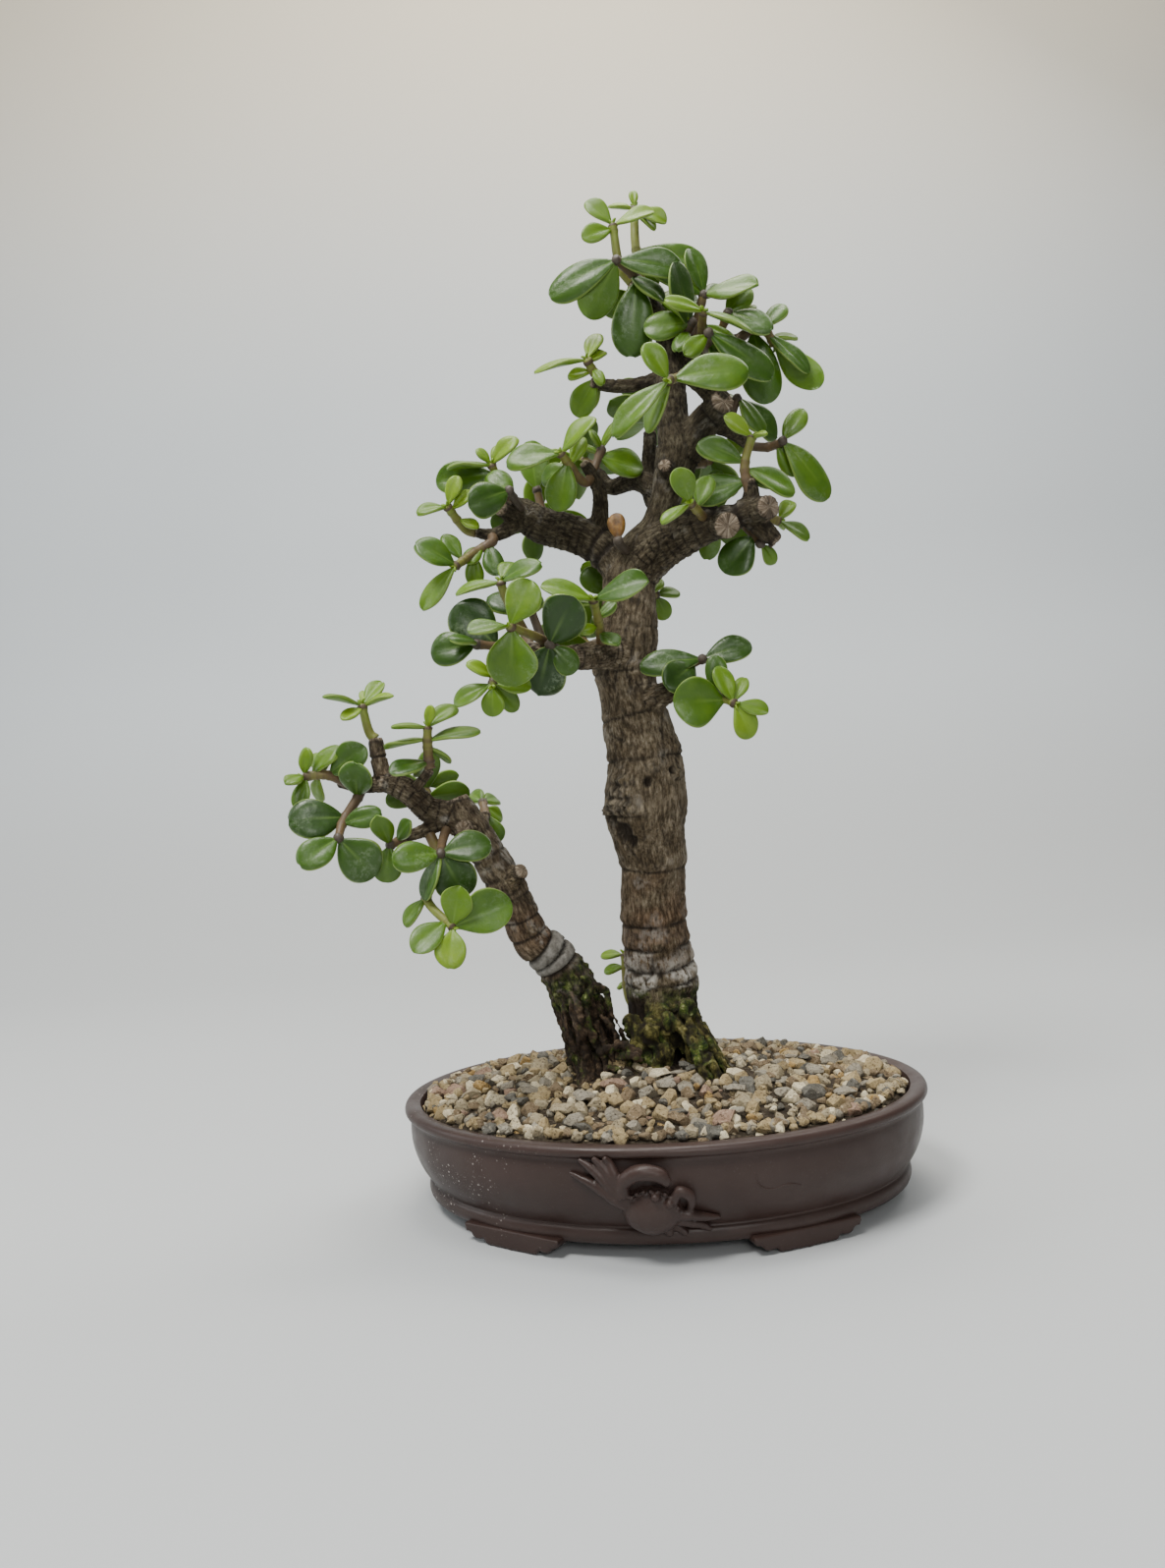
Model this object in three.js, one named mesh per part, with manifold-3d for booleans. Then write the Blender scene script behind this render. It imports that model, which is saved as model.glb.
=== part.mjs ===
import * as THREE from 'three';
import { mergeVertices } from 'three/addons/utils/BufferGeometryUtils.js';
import Module from 'manifold-3d';

// Dwarf jade bonsai: two trunks with leafy shoots, gravelly soil and an oval clay pot.
// Millimetres, +Z up. The pot's long front side, with the moulded crab, faces -Y.

const wasm = await Module();
wasm.setup();

// Driving dimensions
const POT_LENGTH = 150;
const POT_DEPTH = 110;
const POT_SIDES = 36;
const GAP = 0.3;
const FLOOR_TOP = 8;
const SCREEN = { side: 22, thick: 1, x: 33, holes: 2, hole: 7 };
const DRAIN_RADIUS = 6.5;
const SOIL = { rim: 28.6, crown: 5.6, bottom: FLOOR_TOP + 0.2 + SCREEN.thick + GAP };
const GRAIN = { pitch: 5.6, shift: 1.6, low: -0.8, high: 2.2, stones: 8 };
const BLADE = { thick: 2, thickest: 0.42, sink: 1, narrow: 0.56, round: 0.66 };
const STEM = { old: 1.6, young: 1.15, bud: 1.2, sides: 4 };
const CLEAR = { leaf: 2.5, wood: 1.5, stem: 2.6 };

// The plant is laid out as it was seen: right, away and up from the middle of the pot's foot,
// looked at this far off the square front.
const VIEW_TURN = 0.132;

// Pot wall: how far each point lies inside the rim's outline, and its height
const POT_OUTSIDE = [
  [13, 3.2], [6.7, 3.5], [5.7, 5.4], [6, 7.4], [7, 8.2], [6.1, 9.2], [3.6, 13], [1.7, 18.5],
  [1.5, 24], [2.1, 26.9], [0.4, 27.4], [0, 28.5], [0.6, 29.8], [2.2, 30.2],
];
const POT_INSIDE = [
  [4.6, 29.6], [5.3, 27.6], [6.4, 21], [9.4, 11], [14, FLOOR_TOP],
];
// The soil's edge follows the inside of the wall
const SOIL_EDGE = [[12.2, SOIL.bottom], [9.7, 11], [6.5, 21], [5.4, 28], [5.4, 60]];
const FOOT_AT = 57;
const FOOT_OUTLINE = [
  [-15, 4.4], [-14.6, 2.6], [-12, 1.8], [-10.6, 0.6], [-7.5, 0],
  [7.5, 0], [10.6, 0.6], [12, 1.8], [14.6, 2.6], [15, 4.4],
];
const FOOT_THICK = 8;

// Main trunk with its limbs, roots and cut stubs: right, away, up, radius
const TRUNK = [
  [6, 13, 20, 12], [6.1, 12, 27.3, 13.6], [4.2, 12, 38.7, 12.8], [3.2, 12, 49.8, 11.4],
  [3.3, 12, 57.2, 11.1], [2.7, 11, 65.4, 10.2], [2.1, 9, 82, 9.8], [2.7, 8, 93.2, 9.9],
  [1.7, 6, 106.5, 11.6], [2, 5, 114.4, 12.1], [2.2, 5, 124.6, 11], [0.8, 5, 136.6, 9.8],
  [-0.9, 5, 144.9, 9], [-1.6, 5, 151.9, 9.3], [0.2, 4, 161.5, 8.7], [1.2, 4, 171.3, 8],
  [1.6, 4, 177.7, 7.8], [5.3, 4, 185.5, 6.9], [10.4, 3, 191.9, 5.2], [13.4, 2, 199.5, 4.6],
  [15.8, 1, 206.3, 5.7], [17.9, 0, 213, 6.3], [17, 0, 220.3, 5], [17, 1, 227.8, 4.7],
  [17.4, 2, 236.7, 4.3], [17.6, 3, 247.2, 3.7], [14.7, 3, 255.2, 2.7], [11.2, 2, 259.6, 2.4],
  [8, 1, 263.7, 2.1],
];
const LIMBS = [
  [[18.3, 0, 210.1, 5.1], [22.5, -2, 216.1, 4.8], [26.4, -5, 220.5, 4.2], [29.9, -8, 223.2, 3.6],
    [26.8, -10, 226.6, 3], [22.5, -13, 229.1, 2.5], [18.5, -18, 228.6, 1.9]],
  [[27, -4, 220.5, 3], [35.2, 2, 218.2, 2.4], [39.6, 6, 215.7, 1.9]],
  [[4.6, 4, 180.7, 6.9], [9.7, 0, 185, 6.9], [16.7, -4, 187.9, 6.2], [23.4, -8, 189.5, 5.4],
    [29.7, -11, 189.8, 4.3], [34.5, -13, 191.2, 3.8], [39.7, -16, 190.9, 3.3]],
  [[34.9, -12, 190.4, 2.6], [36.1, -14, 196.5, 2.2], [35.6, -15, 199.9, 1.6]],
  [[1.7, 4, 177.1, 6.9], [-3.3, 6, 185.4, 5.8], [-9.3, 8, 190.9, 5.6], [-16.5, 9, 194.3, 5.6],
    [-23.7, 9, 196.9, 5.4], [-29.2, 8, 200.5, 4.6], [-32.5, 6, 202.3, 3.2]],
  [[-28.4, 8, 199.2, 2.8], [-33.8, 4, 194.6, 2.3], [-38, 1.5, 193, 1.9], [-42.5, 2, 194.2, 1.5]],
  [[-6.9, 8, 189.2, 3.4], [-5.6, 7, 198.7, 2.6], [-5.3, 6, 203.9, 2.3], [-7.2, 4, 209, 2],
    [-9.6, 2, 212.7, 1.6]],
  [[13, 7, 204.1, 3.4], [5.5, 14, 209.5, 3], [-1.4, 18, 209, 2.4], [-5.2, 20, 214.7, 1.8]],
  [[12.1, 5, 196.3, 3], [10, 14, 205.9, 2.4], [10.9, 18, 216, 2.4], [12, 20, 225.7, 2.1]],
  [[0.7, 3, 155.6, 5.2], [-7.3, -4, 155.9, 4.4], [-12.5, -10, 154.4, 4], [-16.7, -14, 153.9, 3.6]],
  [[-16.4, -13, 154.2, 2.8], [-22.8, -17, 155.4, 2.2], [-28.2, -16, 156.9, 1.9],
    [-37.9, -14, 155.7, 1.6]],
  [[17, 3, 236, 3], [8, 4, 234.8, 2.1], [0, 4, 235, 1.9], [-6, 3, 236, 1.5]],
  [[17.5, 3, 238.5, 3.2], [24, 2, 242.5, 2.7], [31, 1.5, 244, 2.2], [38, 1, 245, 1.7]],
  [[1, 3, 140, 5], [9, -2, 143, 3.5], [14, -4, 144.5, 3]],
];
const ROOTS = [
  [[7, 7, 53, 5.4], [8.5, -1, 46, 5], [13, -7, 38, 4], [17.5, -15.5, 28, 2]],
  [[10, 9, 50, 5.2], [15, 2, 43, 4.2], [20, -3, 36, 3.2], [25.5, -6, 28.5, 2]],
  [[3.5, 7, 54, 6.4], [1, -2, 45, 6.6], [-0.5, -8, 34, 4.6], [-1, -11, 28.5, 3]],
  [[9, 16, 52, 5], [14, 26, 42, 4], [19, 33, 30, 2.4]],
  [[1, 18, 50, 5], [-4, 28, 40, 3.6], [-7, 34, 29, 2]],
];
// Cut stubs: foot, then the flat sawn end
const STUBS = [
  [[27.5, -5, 221.5, 3.5], [30.5, -12, 222.8, 3.4]],
  [[27, -9, 189, 4], [28.2, -18.5, 186.4, 3.6]],
  [[37, -14, 191, 3.5], [39.6, -20.5, 190.3, 3.4]],
  [[15, 0, 206, 2.4], [13, -7, 207.6, 1.9]],
  [[37, -12, 188.5, 3.2], [42.5, -12, 182.3, 2.3]],
  [[-30.5, 6, 199.5, 3.2], [-35, -2, 200, 2.2]],
];
const SECOND_TRUNK = [
  [-14.5, 7, 21, 6.8], [-15.2, 6, 30.4, 7.9], [-18.1, 6, 39.3, 7.9], [-21.3, 5, 51.4, 7.3],
  [-24.9, 3, 61.9, 6.6], [-28.7, 1, 69.2, 6], [-34.3, -1, 75, 5.7], [-37.7, -3, 84.9, 5.4],
  [-40.8, -4, 92.3, 5.5], [-44, -5, 99.1, 5.2], [-47.4, -6, 105.6, 5], [-51.3, -7, 112, 5.3],
  [-52.7, -7, 117.1, 3.6],
];
const SECOND_LIMBS = [
  [[-49.9, -7, 109.3, 4.6], [-56.2, -8, 112.7, 4.2], [-60.4, -9, 114.4, 3.7],
    [-64.4, -10, 118.9, 3.6], [-69.1, -10, 122, 3.3], [-72.9, -10, 123.1, 2.8]],
  [[-71.8, -10, 122.3, 2.6], [-73.3, -9, 128.9, 2.4], [-74.1, -8, 135.4, 2.2]],
  [[-71.9, -10, 122.4, 2.6], [-78.7, -9, 122.4, 2.2], [-85.2, -8, 124.2, 1.9]],
  [[-64.9, -10, 118.8, 2.2], [-60.9, -13, 122.8, 1.5], [-58.3, -14, 125.6, 1.4]],
  [[-54.9, -8, 111.3, 2.4], [-62.6, -12, 108.3, 1.8], [-67.5, -13, 107, 1.4]],
  [[-47.2, -5, 105.4, 2.4], [-46.5, 6, 109, 1.6], [-46.1, 10, 111.8, 1.5]],
];
const SECOND_ROOTS = [
  [[-17, 2, 40, 5], [-20, -4, 34, 3.8], [-24, -10, 27.5, 2]],
  [[-18, 8, 40, 4.6], [-24, 13, 34, 3.2], [-29, 17, 27, 1.8]],
];
const SECOND_STUBS = [
  [[-40.4, -5, 92.3, 3], [-34.9, -9.5, 95.5, 2.2]],
  [[-48.5, -7, 107, 4], [-50.5, -12.5, 107.8, 2.5]],
];

// Shoots that are seen: name, stem points, age at the foot and at the tip (1 is old), then its leaves:
// place along the stem, bearing (0 right, 90 away), rise in degrees, length, and how far the upper
// face turns from the sky (0) to the front (1) or to the back (-1); then its width for its length,
// where it isn't the usual one
const SEEN_SHOOTS = [
  ['left_crown', [[-75.5, -8, 137], [-77, -9, 145]], 0.3, 0.0, [
    [1, 220, 20, 11, 0.3], [0.95, 40, 50, 9.5, 0.5], [0.95, 355, 25, 9, 0.2],
    [0.9, 240, -15, 8, 0.6], [1, 85, 55, 5, 0.6]]],
  ['left_pagoda', [[-58.5, -14, 126.5], [-58.5, -15, 132], [-58, -16, 137]], 0.75, 0.1, [
    [1, 210, 10, 9.5, 0.3], [1, 25, 40, 10, 0.5], [1, 295, 55, 6, 0.8], [0.65, 0, 15, 14, 0.3],
    [0.7, 180, 0, 11.5, 0.2], [0.5, 55, -20, 9, 0.3], [0.1, 220, -5, 11.5, 0.4],
    [0.15, 140, -25, 10, 0.3]]],
  ['left_end', [[-83, -9, 123.5], [-87.5, -12, 126], [-93.5, -13, 126]], 0.75, 0.3, [
    [1, 295, 65, 7.5, 0.7], [1, 250, -5, 8, 0.6], [0.95, 240, -60, 9, 0.8],
    [0.85, 0, 50, 10.5, 0.5], [0.45, 345, 45, 12.5, 0.8, 0.7], [0.6, 110, 45, 10, 0.4],
    [0.7, 115, -50, 9, 0.6]]],
  ['left_lower', [[-79, -10, 120.5], [-83, -17, 112.5], [-83.5, -21, 108.5]], 0.8, 0.6, [
    [0.1, 285, 55, 11, 1, 0.9], [0.55, 195, 0, 14.5, 0.8, 0.8], [0.7, 350, 15, 10.5, 0.8],
    [1, 220, -25, 12, 0.8, 0.75], [1, 0, -50, 13.5, 0.9, 0.95]]],
  ['left_inner', [[-67, -13, 107], [-70.5, -16, 105.5]], 0.7, 0.6, [
    [1, 250, 55, 10, 0.7], [0.5, 305, 40, 8, 0.6], [1, 255, -45, 10, 0.8, 0.8]]],
  ['left_cross', [[-56, -12, 107], [-56, -22, 102.5]], 0.7, 0.6, [
    [1, 210, 0, 12.5, 0.7, 0.7], [1, 0, 10, 13, 0.7, 0.75], [0.95, 355, -65, 13, 1, 0.95],
    [0.9, 205, -70, 13, 0.1]]],
  ['left_drop', [[-58, -13, 100.5], [-61, -20, 91], [-53.5, -27, 83]], 0.6, 0.05, [
    [0.5, 185, 40, 12.5, 0.9, 0.8], [0.5, 220, -35, 9, 0.3], [0.9, 225, -25, 12, 0.6, 0.7],
    [1, 315, 70, 10.5, 0.9, 0.85], [1, 0, 20, 16, 0.9, 0.75], [1, 265, -55, 10.5, 0.9, 0.8]]],
  ['left_back_tuft', [[-46, 10, 111], [-47, 14, 115]], 0.6, 0.5, [
    [1, 125, 25, 8, 0.6, 0.8], [1, 55, 10, 7, 0.6, 0.8], [0.65, 35, -20, 7, 0.7, 0.75],
    [0.2, 0, -70, 9, 0.8, 0.75]]],
  ['base_sprout', [[-6, 24, 49.5], [-7, 26, 64]], 0.4, 0.2, [
    [1, 165, 5, 7, 0.4], [0.75, 170, -5, 6.5, 0.4], [0.4, 130, -15, 5, 0.5], [1, 10, 55, 5.5, 0.6]]],
  ['right_lone_inner', [[12, -4, 148.5], [20, -8, 151.5]], 0.8, 0.6, [
    [1, 185, 0, 17, 0.7, 0.5], [1, 350, 15, 13.5, 0.7, 0.65], [0.75, 180, -40, 13, 0.9, 0.8]]],
  ['right_lone_outer', [[17, -7, 141.5], [22.5, -11, 141], [27, -15, 138]], 0.9, 0.1, [
    [0.8, 180, 0, 15, 1, 0.95], [0.55, 0, 75, 10.5, 0.5], [1, 190, 70, 10.5, 0.8],
    [1, 30, 60, 8, 0.5], [1, 350, -15, 9, 0.7], [1, 355, -65, 10, 0.8, 0.75]]],
  ['low_front', [[-23.5, -17, 157.5], [-32.5, -32, 161]], 0.7, 0.2, [
    [1, 345, 60, 12.5, 0.9, 0.8], [1, 210, 0, 11, 0.4, 0.6], [0.95, 180, -85, 14.5, 1, 0.95]]],
  ['low_left_tip', [[-30, -14, 157], [-42.5, -20, 158.5]], 0.9, 0.6, [
    [1, 185, -5, 12, 0.8, 0.85], [0.95, 225, 15, 9, 0.4], [0.55, 195, 35, 15.5, 0.9, 0.85]]],
  ['low_tuft', [[-37, -15, 155.5], [-38.5, -25, 147]], 0.5, 0.1, [
    [1, 185, -20, 11, 0.6], [1, 180, -85, 8, 0.9, 0.8], [1, 0, -5, 9.5, 0.7],
    [0.95, 10, -60, 10, 0.7], [0.8, 220, 30, 8, 0.6]]],
  ['low_dark', [[-20.5, -16, 155.5], [-22.5, -25, 156.5]], 1, 0.9, [
    [1, 310, 45, 14, 1, 0.9], [1, 180, -70, 15, 0.9, 0.9], [0.9, 0, -50, 9, 0.9, 0.8]]],
  ['low_behind', [[-25, -12, 158.5], [-27.5, -8, 168.5]], 0.9, 0.8, [
    [1, 180, 25, 12.5, 0.6, 0.75], [0.9, 90, 40, 11, 0.7]]],
  ['low_pair', [[-29.5, -12.5, 161.5], [-34.5, -16, 173], [-35, -17, 175.5]], 0.8, 0.15, [
    [1, 190, -5, 12, 0.4], [1, 330, 20, 12, 0.6], [1, 60, 50, 9, 0.4], [0.6, 40, 20, 8, 0.6]]],
  ['low_bright', [[-8.5, -10, 158.5], [-10, -22, 168]], 0.7, 0.1, [
    [1, 200, 20, 14, 0.6], [1, 330, 15, 15.5, 0.6], [0.9, 180, 10, 12, 0.4],
    [0.35, 225, -10, 6, 0.7], [0.5, 350, 45, 6.5, 0.5], [0.2, 305, -25, 8, 0.7]]],
  ['arm_left_pair', [[-45, 2, 195], [-49.5, -4, 200.5]], 0.5, 0.1, [
    [1, 325, 65, 8.5, 0.6], [1, 205, -5, 8.5, 0.5], [0.85, 350, 40, 7.5, 0.8],
    [0.5, 350, -25, 6, 0.8]]],
  ['arm_left_low', [[-37.5, -1, 190.5], [-42, -2, 188], [-48, -7, 183]], 0.8, 0.25, [
    [1, 210, 30, 12, 0.7, 0.75], [1, 190, -45, 15, 0.5, 0.5], [0.8, 180, 60, 9, 0.6],
    [0.45, 180, -85, 9, 0.8], [0.2, 205, -35, 7, 0.9, 0.75], [0.1, 265, -75, 10, 0.8]]],
  ['arm_left_top', [[-33, 6, 204.5], [-36.5, 2, 213.5]], 0.8, 0.2, [
    [1, 210, -5, 12.5, 0.4], [1, 330, 40, 10, 0.6], [1, 205, 50, 5.5, 0.6], [1, 0, 70, 5.5, 0.6],
    [0.7, 185, 0, 17, 0.8]]],
  ['arm_left_dark', [[-29, 5, 200.5], [-31.5, -6, 203.5]], 1, 1, [
    [1, 210, -20, 12.5, 1, 0.8], [0.7, 150, 45, 10, 0.7, 0.8]]],
  ['arm_fork', [[-9.5, 2, 206.5], [-16, -6, 213]], 0.7, 0.3, [
    [1, 185, 0, 15, 0.6], [1, 340, 45, 13, 0.5], [0.6, 0, 65, 8.5, 0.6],
    [0.75, 180, -75, 13.5, 0.9, 0.7], [0.5, 160, -5, 10, 0.7, 0.75]]],
  ['arm_under', [[-23, 13, 201], [-24, 14, 208.5]], 0.6, 0.6, [
    [1, 150, 85, 14, -0.4, 0.7], [0.2, 105, -80, 16, 0.6]]],
  ['arm_inner', [[-7, 5, 210], [-4, 6, 217]], 0.9, 0.6, [
    [1, 0, 65, 9, 0.2], [0.7, 5, -25, 13, 0.8, 0.8], [1, 235, 50, 6, 0.5], [0.8, 170, 35, 7, 0.4]]],
  ['mid_left', [[-1.5, 5, 235.5], [-5, 2, 239], [-6.5, 0, 241.5]], 0.6, 0.1, [
    [1, 180, 0, 15, 0.3, 0.5], [1, 40, 65, 10, 0.5], [0.9, 30, 40, 7, 0.6],
    [0.7, 310, -50, 6, 0.8], [0.35, 180, -35, 12, 0.8, 0.7], [0.25, 155, -45, 9, 0.8, 0.7],
    [0.6, 180, -10, 7, 0.7]]],
  ['top_left', [[5, 0, 267.5], [3.5, -2, 279]], 0.3, 0.05, [
    [1, 185, 50, 10, 0.7, 0.6], [1, 345, 15, 11.5, 0.6, 0.5], [0.9, 205, -15, 9.5, 0.8, 0.65]]],
  ['top_tip', [[10.5, 2, 263], [10, 3, 276.5], [10.5, 4, 286.5]], 0.4, 0.05, [
    [1, 0, 90, 5, 0.5], [1, 185, 15, 7, 0.5], [1, 350, -25, 9.5, 0.7, 0.55],
    [0.95, 10, -30, 7, 0.6], [0.45, 0, -10, 19.5, 0.8, 0.45]]],
  ['top_crown', [[10, 0, 263], [3.5, -7, 266.5]], 0.9, 0.6, [
    [1, 180, -20, 20.5, 0.8, 0.5], [1, 150, -50, 16.5, -0.6, 0.7], [0.1, 180, -70, 20.5, 0.9, 0.6],
    [1, 355, -10, 18.5, 0.8, 0.5], [0.4, 25, -50, 11.5, 0.5]]],
  ['upper_mid', [[24.5, 4, 246], [28.5, 0, 258]], 0.9, 0.5, [
    [1, 185, 30, 16, 0.7, 0.6], [0.8, 160, 25, 14, 0.6, 0.7], [1, 330, 0, 15.5, 0.7, 0.6],
    [1, 180, 75, 13, 0.4, 0.6], [0.9, 25, 40, 9, 0.5]]],
  ['upper_inner', [[22, -0.5, 244.5], [24, -4, 248.5]], 0.9, 0.7, [
    [1, 200, 40, 9, 0.4, 0.5], [1, 180, 0, 13, 1, 0.7], [0.6, 225, -45, 8, 0.5],
    [0.8, 180, 55, 17, 0.5]]],
  ['upper_fold', [[26.5, -0.5, 244], [26.5, -12, 248]], 0.7, 0.4, [
    [1, 205, 15, 11, 0.7, 0.5], [1, 355, -20, 14, 0.4, 0.55], [0.6, 5, -35, 11, 0.6]]],
  ['upper_right_fan', [[32, 4, 246], [35, -2, 251.5]], 0.8, 0.5, [
    [1, 335, -35, 14, 0.7, 0.6], [0.9, 85, 85, 11, 0.5, 0.7], [0.7, 0, 40, 10.5, 0.5]]],
  ['upper_right_end', [[40.5, -0.5, 246], [44.5, -3, 246], [47.5, -2, 241.5]], 0.8, 0.4, [
    [0.65, 340, -45, 16, 0.6, 0.35], [1, 5, -45, 17.5, -0.7, 0.5], [0.5, 0, 50, 9, 0.5, 0.7],
    [0.15, 0, -80, 20, 0.7, 0.6], [0.85, 25, 20, 9, 0.4]]],
  ['upper_right_low', [[28, -1.5, 241.5], [27.5, -12, 242]], 0.8, 0.7, [
    [1, 0, -35, 21, 0.8, 0.45], [0.9, 205, -35, 9, 0.8], [0.4, 10, -40, 12, 0.6]]],
  ['leader_cross', [[20, -13, 230], [14, -26, 224.5]], 0.9, 0.3, [
    [1, 210, 55, 10.5, 0.9, 0.65], [1, 180, -35, 19.5, 0.6, 0.4], [0.9, 150, -50, 14, 0.5, 0.65],
    [0.75, 350, 5, 19.5, 0.8, 0.6]]],
  ['right_top', [[34.5, 4, 222], [36.5, 2, 228]], 0.9, 0.8, [
    [1, 10, -50, 16, 0.6, 0.5], [1, 0, -20, 12, 0.5, 0.6], [0.9, 130, 30, 9, 0.5]]],
  ['right_pagoda', [[35.5, -14, 195.5], [34.5, -15, 203.5], [37, -15, 211]], 0.8, 0.1, [
    [1, 190, 45, 9, 0.7, 0.65], [1, 300, 0, 5, 0.6], [0.55, 185, 30, 13.5, 0.7, 0.6],
    [0.45, 355, -25, 14.5, 0.6, 0.6], [0.25, 180, -20, 15, 0.8, 0.6], [0.3, 5, -35, 10, 0.6]]],
  ['right_arch', [[39.5, 6, 215.5], [45, 3, 213.5], [48.5, 0, 214]], 0.9, 0.6, [
    [1, 0, -50, 20.5, 0.6, 0.5], [1, 0, 55, 11, 0.7, 0.6], [0.8, 0, -55, 10.5, 0.8],
    [0.55, 140, 85, 9, 0.5]]],
  ['right_end', [[39.5, -8, 191], [44.5, -6, 189.5]], 0.8, 0.3, [
    [1, 335, -30, 9.5, 0.5, 0.5], [1, 25, 50, 8, 0.6], [0.8, 50, -10, 5, 0.6]]],
  ['right_under', [[35, -6, 189], [38.5, -9, 183]], 0.8, 0.7, [
    [0.6, 180, -35, 12.5, 0.9, 0.85], [1, 30, -45, 7, 0.8]]],
  ['right_heart', [[22.5, -12, 190.5], [18, -23, 192]], 0.7, 0.3, [
    [1, 240, 50, 9.5, 0.9, 0.7], [1, 190, -25, 9, 0.4, 0.5], [0.6, 0, 65, 9.5, 0.6]]],
  ['trunk_back_tuft', [[5, 10, 174], [10, 18, 175]], 0.6, 0.5, [
    [1, 20, 10, 8, 0.7], [1, 15, -65, 7.5, 0.8, 0.8], [0.7, 45, 50, 7, 0.6]]],
  ['withered', [[0, -3, 185.5], [-1.5, -6, 187]], 1, 1, [
    [1, 180, 90, 7.5, 1, 0.7]]],
];

// Shoots on the side that is out of sight: name, foot, tip, age at the foot and at the tip,
// pairs of leaves, length of the first and of the last leaf, and the bearing of the first pair
const BACK_SHOOTS = [
  ['back_top', [13, 5, 256], [12, 15, 262], 0.7, 0.3, 3, 14, 12, 20],
  ['back_leader_left', [-5.2, 20, 215], [-10, 26, 221], 0.7, 0.2, 3, 13, 11, 10],
  ['back_leader_up', [12, 20.5, 226], [13, 27, 235], 0.8, 0.3, 3, 15, 12, 45],
  ['back_right', [23, 6, 211], [31, 15, 215], 0.8, 0.4, 3, 14, 12, 80],
  ['back_right_arm', [24, -3, 190], [29, 11, 196], 0.8, 0.3, 3, 13, 12, 30],
  ['back_fork', [2, 11, 176], [-1, 23, 181], 0.8, 0.3, 3, 14, 12, 70],
  ['back_left_arm', [-22, 14, 198], [-27, 26, 203], 0.8, 0.2, 3, 14, 11, 0],
  ['back_low', [-9, 0, 156.5], [-15, 9, 163], 0.8, 0.3, 3, 13, 11, 25],
  ['back_second', [-61, -5, 116], [-63, 7, 121], 0.8, 0.3, 3, 12, 10, 15],
];

// The crab on the front: its limbs' points across, up, standing out and radius
const CRAB_AT = 14.3;
const CRAB_LIMBS = [
  [[-3, 3, 1, 2], [-6.4, 7, 2, 1.5], [-2, 10.8, 2.6, 1.5], [3.4, 8.6, 2.2, 1.3], [4.4, 6.6, 1.6, 0.7]],
  [[4, 1.6, 1, 1.6], [8, 4.6, 1.6, 1.4], [10.4, 1.6, 1.5, 1.4], [11.4, -2, 0.9, 0.7]],
  [[-5, 0.6, 0.6, 1.4], [-12.5, 5, 1.3, 1.5], [-20, 8.2, 0.6, 0.4]],
  [[-5, 1.4, 0.6, 1.4], [-11.6, 8, 1.5, 1.5], [-17.2, 12.2, 0.6, 0.4]],
  [[-4.6, 2.4, 0.6, 1.3], [-9.4, 9, 1.6, 1.4], [-12.6, 13.4, 0.6, 0.4]],
  [[-4, 3, 0.6, 1.2], [-7.4, 9.6, 1.5, 1.2], [-8.8, 13.2, 0.5, 0.4]],
  [[4, -1.6, 0.6, 1.5], [10.6, -2.2, 1.3, 1.3], [16.8, -3.4, 0.5, 0.4]],
  [[2.6, -3.4, 0.8, 1.3], [4.4, -7.2, 0.4, 0.7]],
  [[4, -3, 0.8, 1.4], [8, -7.4, 0.5, 0.8]],
  [[5, -2.4, 0.8, 1.4], [10.6, -5, 0.9, 1.1], [13.6, -7.4, 0.4, 0.5]],
];

const COLOURS = {
  bark: 0x6f6053, secondBark: 0x5d5145, soil: 0x8d8273, clay: 0x49373a, screen: 0x2b2d2f,
  oldLeaf: 0x35692a, youngLeaf: 0x9cc44f, withered: 0xb0762a,
};

const UP = new THREE.Vector3(0, 0, 1);
const AWAY = new THREE.Vector3(0, 1, 0);
const radians = THREE.MathUtils.degToRad;
const mix = THREE.MathUtils.lerp;
const vector = (p) => new THREE.Vector3(p[0], p[1], p[2]);

// The same numbers on every run
function randomFrom(seed) {
  let state = seed;
  return () => {
    state = (state * 1664525 + 1013904223) % 4294967296;
    return state / 4294967296;
  };
}

// Meshes and solids
function solidOf(positions, triangles) {
  const vertProperties = Float32Array.from(positions.flat());
  const triVerts = Uint32Array.from(triangles.flat());
  return new wasm.Manifold(new wasm.Mesh({ numProp: 3, vertProperties, triVerts }));
}

function solidOfGeometry(geometry, matrix) {
  const plain = geometry.clone().applyMatrix4(matrix ?? new THREE.Matrix4());
  plain.deleteAttribute('normal');
  plain.deleteAttribute('uv');
  const merged = mergeVertices(plain, 1e-4);
  return new wasm.Manifold(new wasm.Mesh({
    numProp: 3,
    vertProperties: Float32Array.from(merged.attributes.position.array),
    triVerts: Uint32Array.from(merged.index.array),
  }));
}

function geometryOf(solid) {
  const mesh = solid.getMesh();
  const geometry = new THREE.BufferGeometry();
  const positions = Float32Array.from(mesh.vertProperties);
  geometry.setAttribute('position', new THREE.BufferAttribute(positions, 3));
  geometry.setIndex(new THREE.BufferAttribute(Uint32Array.from(mesh.triVerts), 1));
  return geometry;
}

function joined(solids) {
  return solids.reduce((whole, piece) => whole.add(piece));
}

function largestBody(solid) {
  return solid.decompose().sort((a, b) => b.volume() - a.volume())[0];
}

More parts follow.
